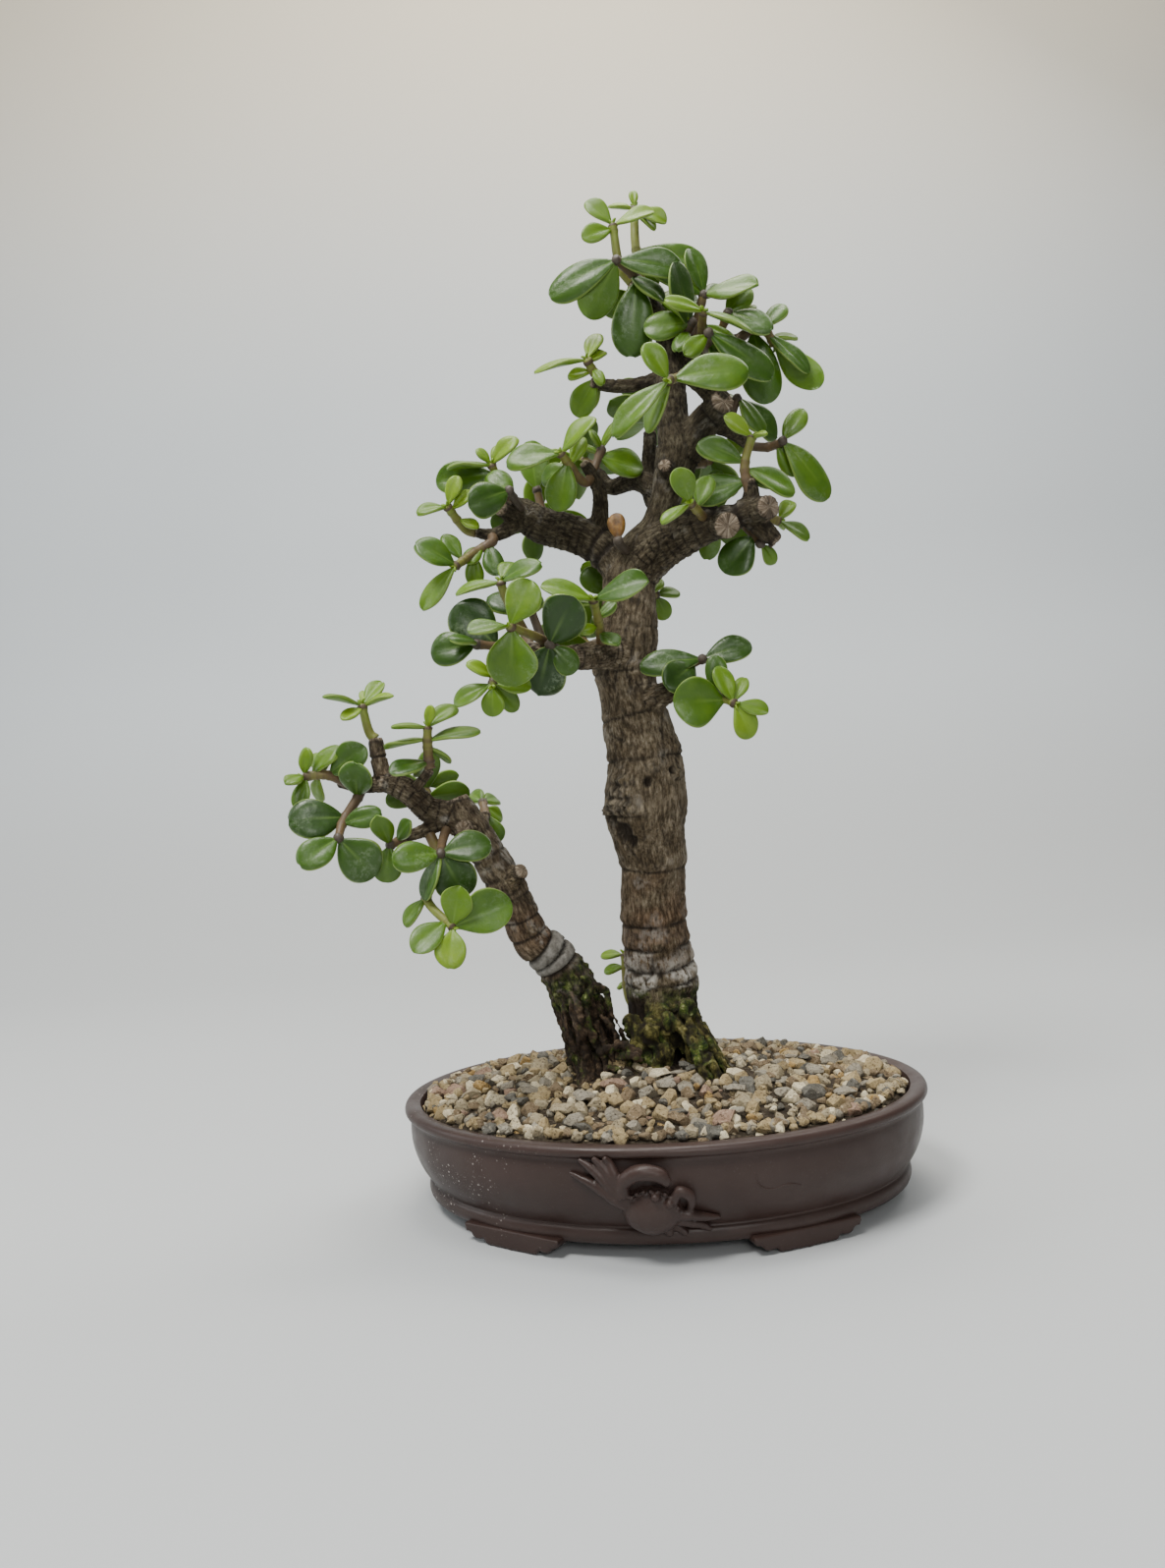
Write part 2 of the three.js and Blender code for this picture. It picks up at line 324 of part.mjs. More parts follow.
// A limb through points of place and radius, grown outwards by a margin, with rings at its points
// and where they lie far apart, between them
function limb(points, sides, { margin = 0, ripple = 0, far = 4.4 } = {}) {
  const curve = new THREE.CatmullRomCurve3(points.map(vector), false, 'centripetal');
  const radii = new THREE.CatmullRomCurve3(points.map((p, i) => new THREE.Vector3(i, p[3], 0)));
  const steps = [];
  points.slice(1).forEach((p, i) => {
    const length = vector(p).distanceTo(vector(points[i]));
    const parts = Math.max(1, Math.round(length / (far * Math.sqrt(p[3]) + 2)));
    for (let k = 0; k < parts; k += 1) {
      steps.push((i + k / parts) / (points.length - 1));
    }
  });
  steps.push(1);
  const positions = [];
  const triangles = [];
  let side = new THREE.Vector3(1, 0, 0);
  steps.forEach((t, ring) => {
    const centre = curve.getPoint(t);
    const along = curve.getTangent(t);
    side = side.clone().addScaledVector(along, -side.dot(along)).normalize();
    const other = along.clone().cross(side);
    const radius = radii.getPoint(t).y + margin;
    for (let k = 0; k < sides; k += 1) {
      const turn = (2 * Math.PI * k) / sides;
      const wave = Math.sin(3 * turn + centre.z / 11) + 0.6 * Math.sin(2 * turn - centre.z / 7);
      const offset = side.clone().multiplyScalar(Math.cos(turn)).addScaledVector(other, Math.sin(turn));
      positions.push(centre.clone().addScaledVector(offset, radius * (1 + ripple * wave)).toArray());
      if (ring > 0) {
        const next = (k + 1) % sides;
        const low = (ring - 1) * sides;
        const high = ring * sides;
        triangles.push([low + k, low + next, high + next], [low + k, high + next, high + k]);
      }
    }
  });
  const last = (steps.length - 1) * sides;
  const foot = positions.length;
  const tip = foot + 1;
  positions.push(
    curve.getPoint(0).addScaledVector(curve.getTangent(0), -margin).toArray(),
    curve.getPoint(1).addScaledVector(curve.getTangent(1), margin).toArray(),
  );
  for (let k = 0; k < sides; k += 1) {
    const next = (k + 1) % sides;
    triangles.push([foot, next, k], [tip, last + k, last + next]);
  }
  return solidOf(positions, triangles);
}

function trunkSolid(trunk, limbs, roots, stubs, margin) {
  return joined([
    limb(trunk, 10, { margin, ripple: 0.05 }),
    ...limbs.map((points) => limb(points, points[0][3] > 4 ? 6 : 5, { margin, ripple: 0.03 })),
    ...roots.map((points) => limb(points, 6, { margin, ripple: 0.04 })),
    ...stubs.map((points) => limb(points, 5, { margin })),
  ]);
}

// Balls of wood along every limb, for finding what stands too near
function ballsOf(limbs) {
  return limbs.flatMap((points) => points.slice(1).flatMap((p, i) => {
    const parts = Math.ceil(vector(p).distanceTo(vector(points[i])) / 2.5);
    return Array.from({ length: parts + 1 }, (_, k) => ({
      place: vector(points[i]).lerp(vector(p), k / parts),
      radius: mix(points[i][3], p[3], k / parts),
    }));
  }));
}

// Leaves: half width along the blade, as a share of its greatest half width
function bladeShape(t) {
  if (t > 0.6) {
    return Math.sqrt(Math.max(0, 1 - ((t - 0.6) / 0.4) ** 2));
  }
  return 0.12 + 0.88 * Math.sin((Math.PI / 2) * (t / 0.6)) ** 1.6;
}

const RING_STOPS = [0.3, 0.66, 0.92];

// A point of the blade's middle surface: t along it, s across from -1 to 1, and height off it
function bladePoint(leaf, t, s, lift = 0) {
  const width = leaf.length * leaf.ratio * 0.5 * bladeShape(t) * s;
  const rise = leaf.cup * Math.abs(width) - leaf.droop * leaf.length * t * t + lift;
  return leaf.foot.clone()
    .addScaledVector(leaf.along, leaf.length * t)
    .addScaledVector(leaf.across, width)
    .addScaledVector(leaf.face, rise);
}

function bladeSolid(leaf) {
  const root = leaf.foot.clone().addScaledVector(leaf.along, -BLADE.sink);
  const ring = [root.toArray()];
  RING_STOPS.forEach((t) => ring.push(bladePoint(leaf, t, -1).toArray()));
  ring.push(bladePoint(leaf, 1, 0).toArray());
  [...RING_STOPS].reverse().forEach((t) => ring.push(bladePoint(leaf, t, 1).toArray()));
  const half = leaf.thick / 2;
  const top = ring.length;
  const middles = [half, -half].map((lift) => bladePoint(leaf, BLADE.thickest, 0, lift).toArray());
  const positions = [...ring, ...middles];
  const triangles = ring.flatMap((_, k) => {
    const next = (k + 1) % ring.length;
    return [[k, next, top], [next, k, top + 1]];
  });
  return solidOf(positions, triangles);
}

function makeLeaf(foot, along, face, length, age, ratio = mix(BLADE.narrow, BLADE.round, age)) {
  const across = face.clone().cross(along).normalize();
  return {
    foot, along, across, length,
    face: along.clone().cross(across),
    ratio,
    thick: BLADE.thick * mix(0.75, 1, age),
    cup: mix(0.22, 0.08, age),
    droop: mix(0.16, 0.08, age),
    age,
  };
}

function heading(bearing, rise) {
  const flat = Math.cos(radians(rise));
  return new THREE.Vector3(flat * Math.cos(radians(bearing)), flat * Math.sin(radians(bearing)),
    Math.sin(radians(rise)));
}

// The upper face turns from the sky towards the front or the back, square to the midrib
function faceFor(along, turn) {
  const wish = UP.clone().multiplyScalar(1 - Math.abs(turn)).addScaledVector(AWAY, -turn);
  if (Math.abs(wish.normalize().dot(along)) > 0.97) {
    wish.set(0.3, turn < 0 ? 1 : -1, 0.5);
  }
  return wish.addScaledVector(along, -wish.dot(along)).normalize();
}

// A place on the stem, t from its foot to its tip
function alongStem(stem, t) {
  const lengths = stem.slice(1).map((p, i) => p.distanceTo(stem[i]));
  let left = t * lengths.reduce((sum, length) => sum + length, 0);
  const index = lengths.findIndex((length) => {
    if (left <= length + 1e-9) {
      return true;
    }
    left -= length;
    return false;
  });
  const at = index < 0 ? lengths.length - 1 : index;
  return stem[at].clone().lerp(stem[at + 1], index < 0 ? 1 : left / lengths[at]);
}

function leafFoot(stem, t, along) {
  return alongStem(stem, t).addScaledVector(along, 0.8);
}

function seenShoot([name, stemPoints, ageFoot, ageTip, leaves]) {
  const stem = stemPoints.map(vector);
  const wishes = leaves.map(([t, bearing, rise, length, turn, ratio]) => {
    const along = heading(bearing, rise);
    return makeLeaf(leafFoot(stem, t, along), along, faceFor(along, turn), length,
      mix(ageFoot, ageTip, t), ratio);
  });
  return { name, stem, wishes };
}

// Leaves in pairs, each pair square to the last, spreading less towards the tip
function backShoot([name, foot, tip, ageFoot, ageTip, pairs, longFoot, longTip, bearing], index) {
  const random = randomFrom(4000 + index * 77);
  const stem = [vector(foot), vector(tip)];
  const axis = stem[1].clone().sub(stem[0]).normalize();
  const first = heading(bearing, 0).addScaledVector(axis, -heading(bearing, 0).dot(axis)).normalize();
  const wishes = [];
  for (let pair = 0; pair < pairs; pair += 1) {
    const share = pair / (pairs - 1);
    const t = mix(0.4, 1, share);
    for (let half = 0; half < 2; half += 1) {
      const turn = radians(90 * pair + 180 * half + (random() - 0.5) * 24);
      const spread = radians(mix(86, 62, share) + (random() - 0.5) * 16);
      const length = mix(longFoot, longTip, share) * (0.92 + 0.16 * random());
      const out = first.clone().applyAxisAngle(axis, turn);
      const along = axis.clone().multiplyScalar(Math.cos(spread)).addScaledVector(out, Math.sin(spread));
      const face = axis.clone().multiplyScalar(Math.sin(spread)).addScaledVector(out, -Math.cos(spread));
      wishes.push(makeLeaf(leafFoot(stem, t, along), along, face, length, mix(ageFoot, ageTip, t)));
    }
  }
  return { name, stem, wishes };
}

// Points spread over a blade, for finding what it would touch
function feelers(leaf) {
  return [0.2, 0.4, 0.6, 0.8, 1].flatMap((t) => [-0.9, -0.45, 0, 0.45, 0.9].map((s) => ({
    place: bladePoint(leaf, t, s),
    t,
  })));
}

// How a blade may be bent to clear its neighbours: swing and lift in degrees, and length
const BENDS = [1, 0.85].flatMap((size) => [
  [0, 0], [12, 0], [-12, 0], [0, 12], [0, -12], [14, 14], [-14, 14], [14, -14], [-14, -14],
  [26, 0], [-26, 0], [0, 26], [0, -26], [30, 20], [-30, 20], [30, -20], [-30, -20],
  [42, 0], [-42, 0], [0, 42], [0, -42],
].map(([swing, lift]) => ({ swing, lift, size })));

function bent(leaf, { swing, lift, size }) {
  const along = leaf.along.clone().applyAxisAngle(leaf.face, radians(swing))
    .applyAxisAngle(leaf.across, -radians(lift)).normalize();
  const face = leaf.face.clone().addScaledVector(along, -leaf.face.dot(along)).normalize();
  return makeLeaf(leaf.foot, along, face, leaf.length * size, leaf.age, leaf.ratio);
}

function isClear(leaf, shoot, taken, wood) {
  const points = feelers(leaf);
  const middle = bladePoint(leaf, 0.5, 0);
  const reach = leaf.length * 0.6;
  const hitsWood = wood.some(({ place, radius }) => {
    const near = radius + CLEAR.wood;
    return place.distanceTo(middle) < reach + near
      && points.some((p) => p.t > 0.3 && p.place.distanceTo(place) < near);
  });
  if (hitsWood) {
    return false;
  }
  return !taken.some((other) => {
    if (other.middle.distanceTo(middle) > reach + other.reach + CLEAR.leaf) {
      return false;
    }
    const own = other.shoot === shoot;
    return points.some((p) => (!own || p.t > 0.5) && other.points.some((q) => (!own || q.t > 0.5)
      && p.place.distanceTo(q.place) < (own ? 1.5 : other.gap)));
  });
}

// The stem starts inside the nearest wood, and runs up through its own points
function rootedStem(shoot, wood) {
  const distance = (ball) => ball.place.distanceTo(shoot.stem[0]) - ball.radius;
  const nearest = wood.reduce((best, ball) => (distance(ball) < distance(best) ? ball : best));
  return [nearest.place, ...shoot.stem];
}

function stemFeelers(shoot) {
  const length = shoot.stem.slice(1).reduce((sum, p, i) => sum + p.distanceTo(shoot.stem[i]), 0);
  const parts = Math.ceil(length / 1.8);
  const points = Array.from({ length: parts + 1 }, (_, k) => ({
    place: alongStem(shoot.stem, k / parts), t: 0,
  }));
  const middle = alongStem(shoot.stem, 0.5);
  return { shoot: shoot.name, points, middle, reach: length * 0.6, gap: CLEAR.stem };
}

// Every leaf in turn is kept as wished, or bent until it is clear, or left off
function settle(shoots, wood) {
  const taken = shoots.map(stemFeelers);
  shoots.forEach((shoot) => {
    shoot.leaves = [];
    shoot.wishes.forEach((wish) => {
      const bend = BENDS.find((option) => isClear(bent(wish, option), shoot.name, taken, wood));
      if (bend) {
        const leaf = bent(wish, bend);
        shoot.leaves.push(leaf);
        taken.push({
          shoot: shoot.name, points: feelers(leaf), middle: bladePoint(leaf, 0.5, 0),
          reach: leaf.length * 0.6, gap: CLEAR.leaf,
        });
      }
    });
  });
  return shoots;
}

function shootSolid(shoot, wood, grownWood) {
  const stem = rootedStem(shoot, wood);
  const tip = stem[stem.length - 1];
  const onward = tip.clone().sub(stem[stem.length - 2]).normalize();
  stem[stem.length - 1] = tip.clone().addScaledVector(onward, STEM.bud);
  const points = stem.map((p, i) => [p.x, p.y, p.z, mix(STEM.old, STEM.young, i / (stem.length - 1))]);
  const whole = joined([limb(points, STEM.sides, { far: 40 }), ...shoot.leaves.map(bladeSolid)]);
  return largestBody(whole.subtract(grownWood));
}

// Pot
function ovalPoint(inset, turn, z) {
  const across = POT_LENGTH / 2 - inset;
  const deep = POT_DEPTH / 2 - inset;
  return [across * Math.cos(turn), deep * Math.sin(turn), z];
}

// A closed outline of inset and height, carried round the oval, with its two ends on the axis
function ovalTurning(outline, sides) {
  const positions = [[0, 0, outline[0][1]]];
  outline.forEach(([inset, z]) => {
    for (let k = 0; k < sides; k += 1) {
      positions.push(ovalPoint(inset, (2 * Math.PI * k) / sides, z));
    }
  });
  const end = positions.push([0, 0, outline[outline.length - 1][1]]) - 1;
  const last = outline.length - 1;
  const at = (row, k) => 1 + row * sides + (k % sides);
  const triangles = [];
  for (let k = 0; k < sides; k += 1) {
    triangles.push([0, at(0, k + 1), at(0, k)], [end, at(last, k), at(last, k + 1)]);
    for (let row = 1; row < outline.length; row += 1) {
      triangles.push([at(row - 1, k), at(row - 1, k + 1), at(row, k + 1)],
        [at(row - 1, k), at(row, k + 1), at(row, k)]);
    }
  }
  return solidOf(positions, triangles);
}

function insetAt(z) {
  const row = POT_OUTSIDE.findIndex((point, i) => i > 0 && point[1] > z);
  const [inset0, z0] = POT_OUTSIDE[row - 1];
  const [inset1, z1] = POT_OUTSIDE[row];
  return mix(inset0, inset1, (z - z0) / (z1 - z0));
}

// A point on the front of the belly, so far to the right, so high and so far out
function onBelly(x, z, out) {
  const inset = insetAt(z) - out;
  const turn = Math.acos(x / (POT_LENGTH / 2 - inset));
  return [x, -(POT_DEPTH / 2 - inset) * Math.sin(turn), z];
}

function ellipsoid(centre, radii, wide, high) {
  const matrix = new THREE.Matrix4().makeTranslation(...centre)
    .multiply(new THREE.Matrix4().makeScale(...radii));
  return solidOfGeometry(new THREE.SphereGeometry(1, wide, high), matrix);
}

function crabLimb(points) {
  const placed = points.map(([x, z, out, radius]) => [...onBelly(x, CRAB_AT + z, out), radius]);
  return limb(placed, 4, { far: 40 });
}

function crab() {
  const limbs = CRAB_LIMBS.map(crabLimb);
  const eyes = [[1.3, 4], [4.4, 2.6]].map(([x, z]) =>
    ellipsoid(onBelly(x, CRAB_AT + z, 1), [1.2, 1.5, 1.2], 5, 3));
  return joined([ellipsoid(onBelly(0, CRAB_AT, 0), [6.8, 4.2, 5.4], 9, 5), ...eyes, ...limbs]);
}

function foot(turn) {
  const outline = new THREE.Shape(FOOT_OUTLINE.map(([s, z]) => new THREE.Vector2(s, z)));
  const slab = new THREE.ExtrudeGeometry(outline, { depth: FOOT_THICK, bevelEnabled: false });
  const [x, y] = ovalPoint(5.2, turn, 0);
  const outward = Math.atan2(Math.sin(turn) / (POT_DEPTH / 2), Math.cos(turn) / (POT_LENGTH / 2));
  const matrix = new THREE.Matrix4().makeTranslation(x, y, 0)
    .multiply(new THREE.Matrix4().makeRotationZ(outward + Math.PI / 2))
    .multiply(new THREE.Matrix4().makeRotationX(Math.PI / 2))
    .multiply(new THREE.Matrix4().makeTranslation(0, 0, -FOOT_THICK));
  return solidOfGeometry(slab, matrix);
}

function drain(x) {
  const hole = new THREE.CylinderGeometry(DRAIN_RADIUS, DRAIN_RADIUS, 3 * FLOOR_TOP, 12);
  return solidOfGeometry(hole, new THREE.Matrix4().makeTranslation(x, 0, 0)
    .multiply(new THREE.Matrix4().makeRotationX(Math.PI / 2)));
}

function potSolid() {
  const bowl = ovalTurning([...POT_OUTSIDE, ...POT_INSIDE], POT_SIDES);
  const feet = [FOOT_AT, 180 - FOOT_AT, 180 + FOOT_AT, -FOOT_AT].map((turn) => foot(radians(turn)));
  const fired = joined([bowl, ...feet, crab()]);
  return fired.subtract(drain(SCREEN.x)).subtract(drain(-SCREEN.x));
}

function block(size, centre) {
  return solidOfGeometry(new THREE.BoxGeometry(...size), new THREE.Matrix4().makeTranslation(...centre));
}

function screenSolid(x) {
  const z = FLOOR_TOP + 0.2 + SCREEN.thick / 2;
  const step = SCREEN.side / SCREEN.holes;
  let sheet = block([SCREEN.side, SCREEN.side, SCREEN.thick], [x, 0, z]);
  for (let row = 0; row < SCREEN.holes; row += 1) {
    for (let column = 0; column < SCREEN.holes; column += 1) {
      const across = x + (column + 0.5) * step - SCREEN.side / 2;
      const deep = (row + 0.5) * step - SCREEN.side / 2;
      sheet = sheet.subtract(block([SCREEN.hole, SCREEN.hole, 3], [across, deep, z]));
    }
  }
  return sheet;
}

// Soil
function soilTop(x, y) {
  const share = (x / (POT_LENGTH / 2)) ** 2 + (y / (POT_DEPTH / 2)) ** 2;
  return SOIL.rim + SOIL.crown * Math.max(0, 1 - share);
}

// The gravel's top is a lattice: every third point is the crown of a grain, the others lie low
function gravelSheet() {
  const random = randomFrom(9100);
  const rowStep = (GRAIN.pitch * Math.sqrt(3)) / 2;
  const rows = Math.ceil(POT_DEPTH / 2 / rowStep);
  const columns = Math.ceil(POT_LENGTH / 2 / GRAIN.pitch);
  const top = [];
  for (let row = -rows; row <= rows; row += 1) {
    const odd = Math.abs(row) % 2;
    for (let column = -columns; column <= columns; column += 1) {
      const x = (column + odd / 2) * GRAIN.pitch + (random() - 0.5) * GRAIN.shift;
      const y = row * rowStep + (random() - 0.5) * GRAIN.shift;
      const crown = (column - (row - odd) / 2 - row) % 3 === 0;
      const height = crown ? mix(GRAIN.high / 2, GRAIN.high, random()) : mix(GRAIN.low, 0, random());
      top.push([x, y, soilTop(x, y) + height]);
    }
  }
  return { top, wide: 2 * columns + 1, deep: 2 * rows + 1, firstOdd: rows % 2 };
}

function gravelSlab() {
  const { top, wide, deep, firstOdd } = gravelSheet();
  const count = top.length;
  const positions = [...top, ...top.map(([x, y]) => [x, y, 0])];
  const triangles = [];
  const both = (a, b, c) => triangles.push([a, b, c], [c + count, b + count, a + count]);
  for (let row = 0; row < deep - 1; row += 1) {
    const shifted = (row + firstOdd) % 2;
    for (let column = 0; column < wide - 1; column += 1) {
      const a = row * wide + column;
      const b = a + wide;
      if (shifted) {
        both(a, a + 1, b + 1);
        both(a, b + 1, b);
      } else {
        both(a, a + 1, b);
        both(a + 1, b + 1, b);
      }
    }
  }
  const rim = [];
  for (let column = 0; column < wide - 1; column += 1) {
    rim.push(column);
  }
  for (let row = 0; row < deep - 1; row += 1) {
    rim.push(row * wide + wide - 1);
  }
  for (let column = wide - 1; column > 0; column -= 1) {
    rim.push((deep - 1) * wide + column);
  }
  for (let row = deep - 1; row > 0; row -= 1) {
    rim.push(row * wide);
  }
  rim.forEach((a, k) => {
    const b = rim[(k + 1) % rim.length];
    triangles.push([a, a + count, b + count], [a, b + count, b]);
  });
  return solidOf(positions, triangles);
}

function soilSolid(grownTrunks) {
  const random = randomFrom(9200);
  const plug = ovalTurning(SOIL_EDGE.map(([inset, z]) => [inset + GAP + 0.1, z]), POT_SIDES);
  const stones = Array.from({ length: GRAIN.stones }, () => {
    const turn = 2 * Math.PI * random();
    const reach = Math.sqrt(random()) * 0.84;
    const x = (POT_LENGTH / 2) * reach * Math.cos(turn);
    const y = (POT_DEPTH / 2) * reach * Math.sin(turn);
    const size = mix(2.6, 4.6, random());
    const matrix = new THREE.Matrix4().makeTranslation(x, y, soilTop(x, y) + 0.7)
      .multiply(new THREE.Matrix4().makeRotationZ(2 * Math.PI * random()))
      .multiply(new THREE.Matrix4().makeScale(size, size * 0.75, size * 0.55));
    return solidOfGeometry(new THREE.IcosahedronGeometry(1, 0), matrix);
  });
  const bed = joined([gravelSlab(), ...stones]).intersect(plug);
  return largestBody(grownTrunks.reduce((soil, trunk) => soil.subtract(trunk), bed));
}

// Putting it together
function finished(name, solid, colour, roughness) {
  const material = new THREE.MeshStandardMaterial({ color: colour, roughness, metalness: 0 });
  const mesh = new THREE.Mesh(geometryOf(solid), material);
  mesh.name = name;
  return mesh;
}

function turnedToPot(solid) {
  return solidOfGeometry(geometryOf(solid), new THREE.Matrix4().makeRotationZ(VIEW_TURN));
}

function leafColour(shoot) {
  if (shoot.name === 'withered') {
    return new THREE.Color(COLOURS.withered);
  }
  const age = shoot.leaves.reduce((sum, leaf) => sum + leaf.age, 0) / shoot.leaves.length;
  return new THREE.Color(COLOURS.youngLeaf).lerp(new THREE.Color(COLOURS.oldLeaf), age);
}

const mainTrunk = [TRUNK, LIMBS, ROOTS, STUBS];
const secondTrunk = [SECOND_TRUNK, SECOND_LIMBS, SECOND_ROOTS, SECOND_STUBS];
const grownMain = trunkSolid(...mainTrunk, GAP);
const grownSecond = trunkSolid(...secondTrunk, GAP);
const grownWood = grownMain.add(grownSecond);
const allLimbs = [mainTrunk, secondTrunk].flatMap(([trunk, ...others]) => [trunk, ...others.flat()]);
const woodBalls = ballsOf(allLimbs);
const shoots = settle([...SEEN_SHOOTS.map(seenShoot), ...BACK_SHOOTS.map(backShoot)], woodBalls);

const secondSolid = largestBody(trunkSolid(...secondTrunk, 0).subtract(grownMain));

const plant = new THREE.Group();
plant.rotation.z = VIEW_TURN;
plant.add(
  finished('trunk_main', trunkSolid(...mainTrunk, 0), COLOURS.bark, 0.9),
  finished('trunk_left', secondSolid, COLOURS.secondBark, 0.9),
  ...shoots.map((shoot) => finished(
    `shoot_${shoot.name}`, shootSolid(shoot, woodBalls, grownWood), leafColour(shoot), 0.35)),
);

const bonsai = new THREE.Group();
bonsai.add(
  plant,
  finished('pot', potSolid(), COLOURS.clay, 0.55),
  finished('soil', soilSolid([grownMain, grownSecond].map(turnedToPot)), COLOURS.soil, 0.95),
  finished('drain_screen_right', screenSolid(SCREEN.x), COLOURS.screen, 0.6),
  finished('drain_screen_left', screenSolid(-SCREEN.x), COLOURS.screen, 0.6),
);

// The origin is the middle of the whole part's box, at the height of the feet
bonsai.updateMatrixWorld(true);
const box = new THREE.Box3().setFromObject(bonsai, true);
const middle = box.getCenter(new THREE.Vector3());
bonsai.position.set(-middle.x, -middle.y, -box.min.z);

export default bonsai;
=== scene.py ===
import math

import bpy
import numpy as np
from mathutils import Matrix, Vector


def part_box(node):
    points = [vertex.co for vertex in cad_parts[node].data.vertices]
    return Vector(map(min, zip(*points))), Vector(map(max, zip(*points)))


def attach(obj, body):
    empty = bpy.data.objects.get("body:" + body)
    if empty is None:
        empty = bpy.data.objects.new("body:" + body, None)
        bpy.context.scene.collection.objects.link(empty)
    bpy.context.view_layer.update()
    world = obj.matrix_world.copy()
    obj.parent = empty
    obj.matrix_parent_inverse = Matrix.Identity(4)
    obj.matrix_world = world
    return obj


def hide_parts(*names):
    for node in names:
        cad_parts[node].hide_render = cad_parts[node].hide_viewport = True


# Looks of the dwarf jade bonsai. Sizes are millimetres until a mesh is made, and metres after.
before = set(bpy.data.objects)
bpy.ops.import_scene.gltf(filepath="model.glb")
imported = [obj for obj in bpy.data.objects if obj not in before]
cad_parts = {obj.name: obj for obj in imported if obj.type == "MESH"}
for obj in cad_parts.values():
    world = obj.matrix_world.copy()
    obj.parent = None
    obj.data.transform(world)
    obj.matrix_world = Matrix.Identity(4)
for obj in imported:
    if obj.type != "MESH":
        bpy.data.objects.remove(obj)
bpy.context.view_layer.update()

MM = 0.001

# Pot, soil and plant, as in the solids
POT_LENGTH = 150
POT_DEPTH = 110
FLOOR_TOP = 8
SCREEN = {"side": 22, "thick": 1, "x": 33, "pitch": 2.2, "wire": 0.7}
DRAIN_RADIUS = 6.5
FEET_VOXEL, CRAB_VOXEL = 0.48, 0.30
SOIL_RIM, SOIL_CROWN, SOIL_BOTTOM = 28.6, 5.6, 9.5
BLADE = {"thick": 2, "sink": 1, "narrow": 0.56, "round": 0.66}
STEM = {"old": 1.6, "young": 1.15, "bud": 1.2}
CLEAR = {"leaf": 2.5, "wood": 1.5, "stem": 2.6}

# The plant is laid out as it was seen: right, away and up from the middle of the pot's foot,
# looked at this far off the square front
VIEW_TURN = 0.132

# The camera in the same layout: its place, its roll, and the photograph's frame and focal length
CAMERA_AT = (-16.4, -316.3, 118.6)
CAMERA_ROLL = -0.069
PHOTO_HIGH = 1596
PHOTO_FOCAL = 1107
SENSOR = 36

# Pot wall: how far each point lies inside the rim's outline, and its height
POT_OUTSIDE = [
  [13, 3.2], [6.7, 3.5], [5.7, 5.4], [6, 7.4], [7, 8.2], [6.1, 9.2], [3.6, 13], [1.7, 18.5],
  [1.5, 24], [2.1, 26.9], [0.4, 27.4], [0, 28.5], [0.6, 29.8], [2.2, 30.2],
]
POT_INSIDE = [
  [4.6, 29.6], [5.3, 27.6], [6.4, 21], [9.4, 11], [14, FLOOR_TOP],
]
SOIL_EDGE = [[12.2, SOIL_BOTTOM], [9.7, 11], [6.5, 21]]
FOOT_AT = 57
FOOT_THICK = 8

# The two trunks with limbs, roots and cut stubs: right, away, up, radius
TRUNK = [
  [6, 13, 20, 12], [6.1, 12, 27.3, 13.6], [4.2, 12, 38.7, 12.8], [3.2, 12, 49.8, 11.4],
  [3.3, 12, 57.2, 11.1], [2.7, 11, 65.4, 10.2], [2.1, 9, 82, 9.8], [2.7, 8, 93.2, 9.9],
  [1.7, 6, 106.5, 11.6], [2, 5, 114.4, 12.1], [2.2, 5, 124.6, 11], [0.8, 5, 136.6, 9.8],
  [-0.9, 5, 144.9, 9], [-1.6, 5, 151.9, 9.3], [0.2, 4, 161.5, 8.7], [1.2, 4, 171.3, 8],
  [1.6, 4, 177.7, 7.8], [5.3, 4, 185.5, 6.9], [10.4, 3, 191.9, 5.2], [13.4, 2, 199.5, 4.6],
  [15.8, 1, 206.3, 5.7], [17.9, 0, 213, 6.3], [17, 0, 220.3, 5], [17, 1, 227.8, 4.7],
  [17.4, 2, 236.7, 4.3], [17.6, 3, 247.2, 3.7], [14.7, 3, 255.2, 2.7], [11.2, 2, 259.6, 2.4],
  [8, 1, 263.7, 2.1],
]
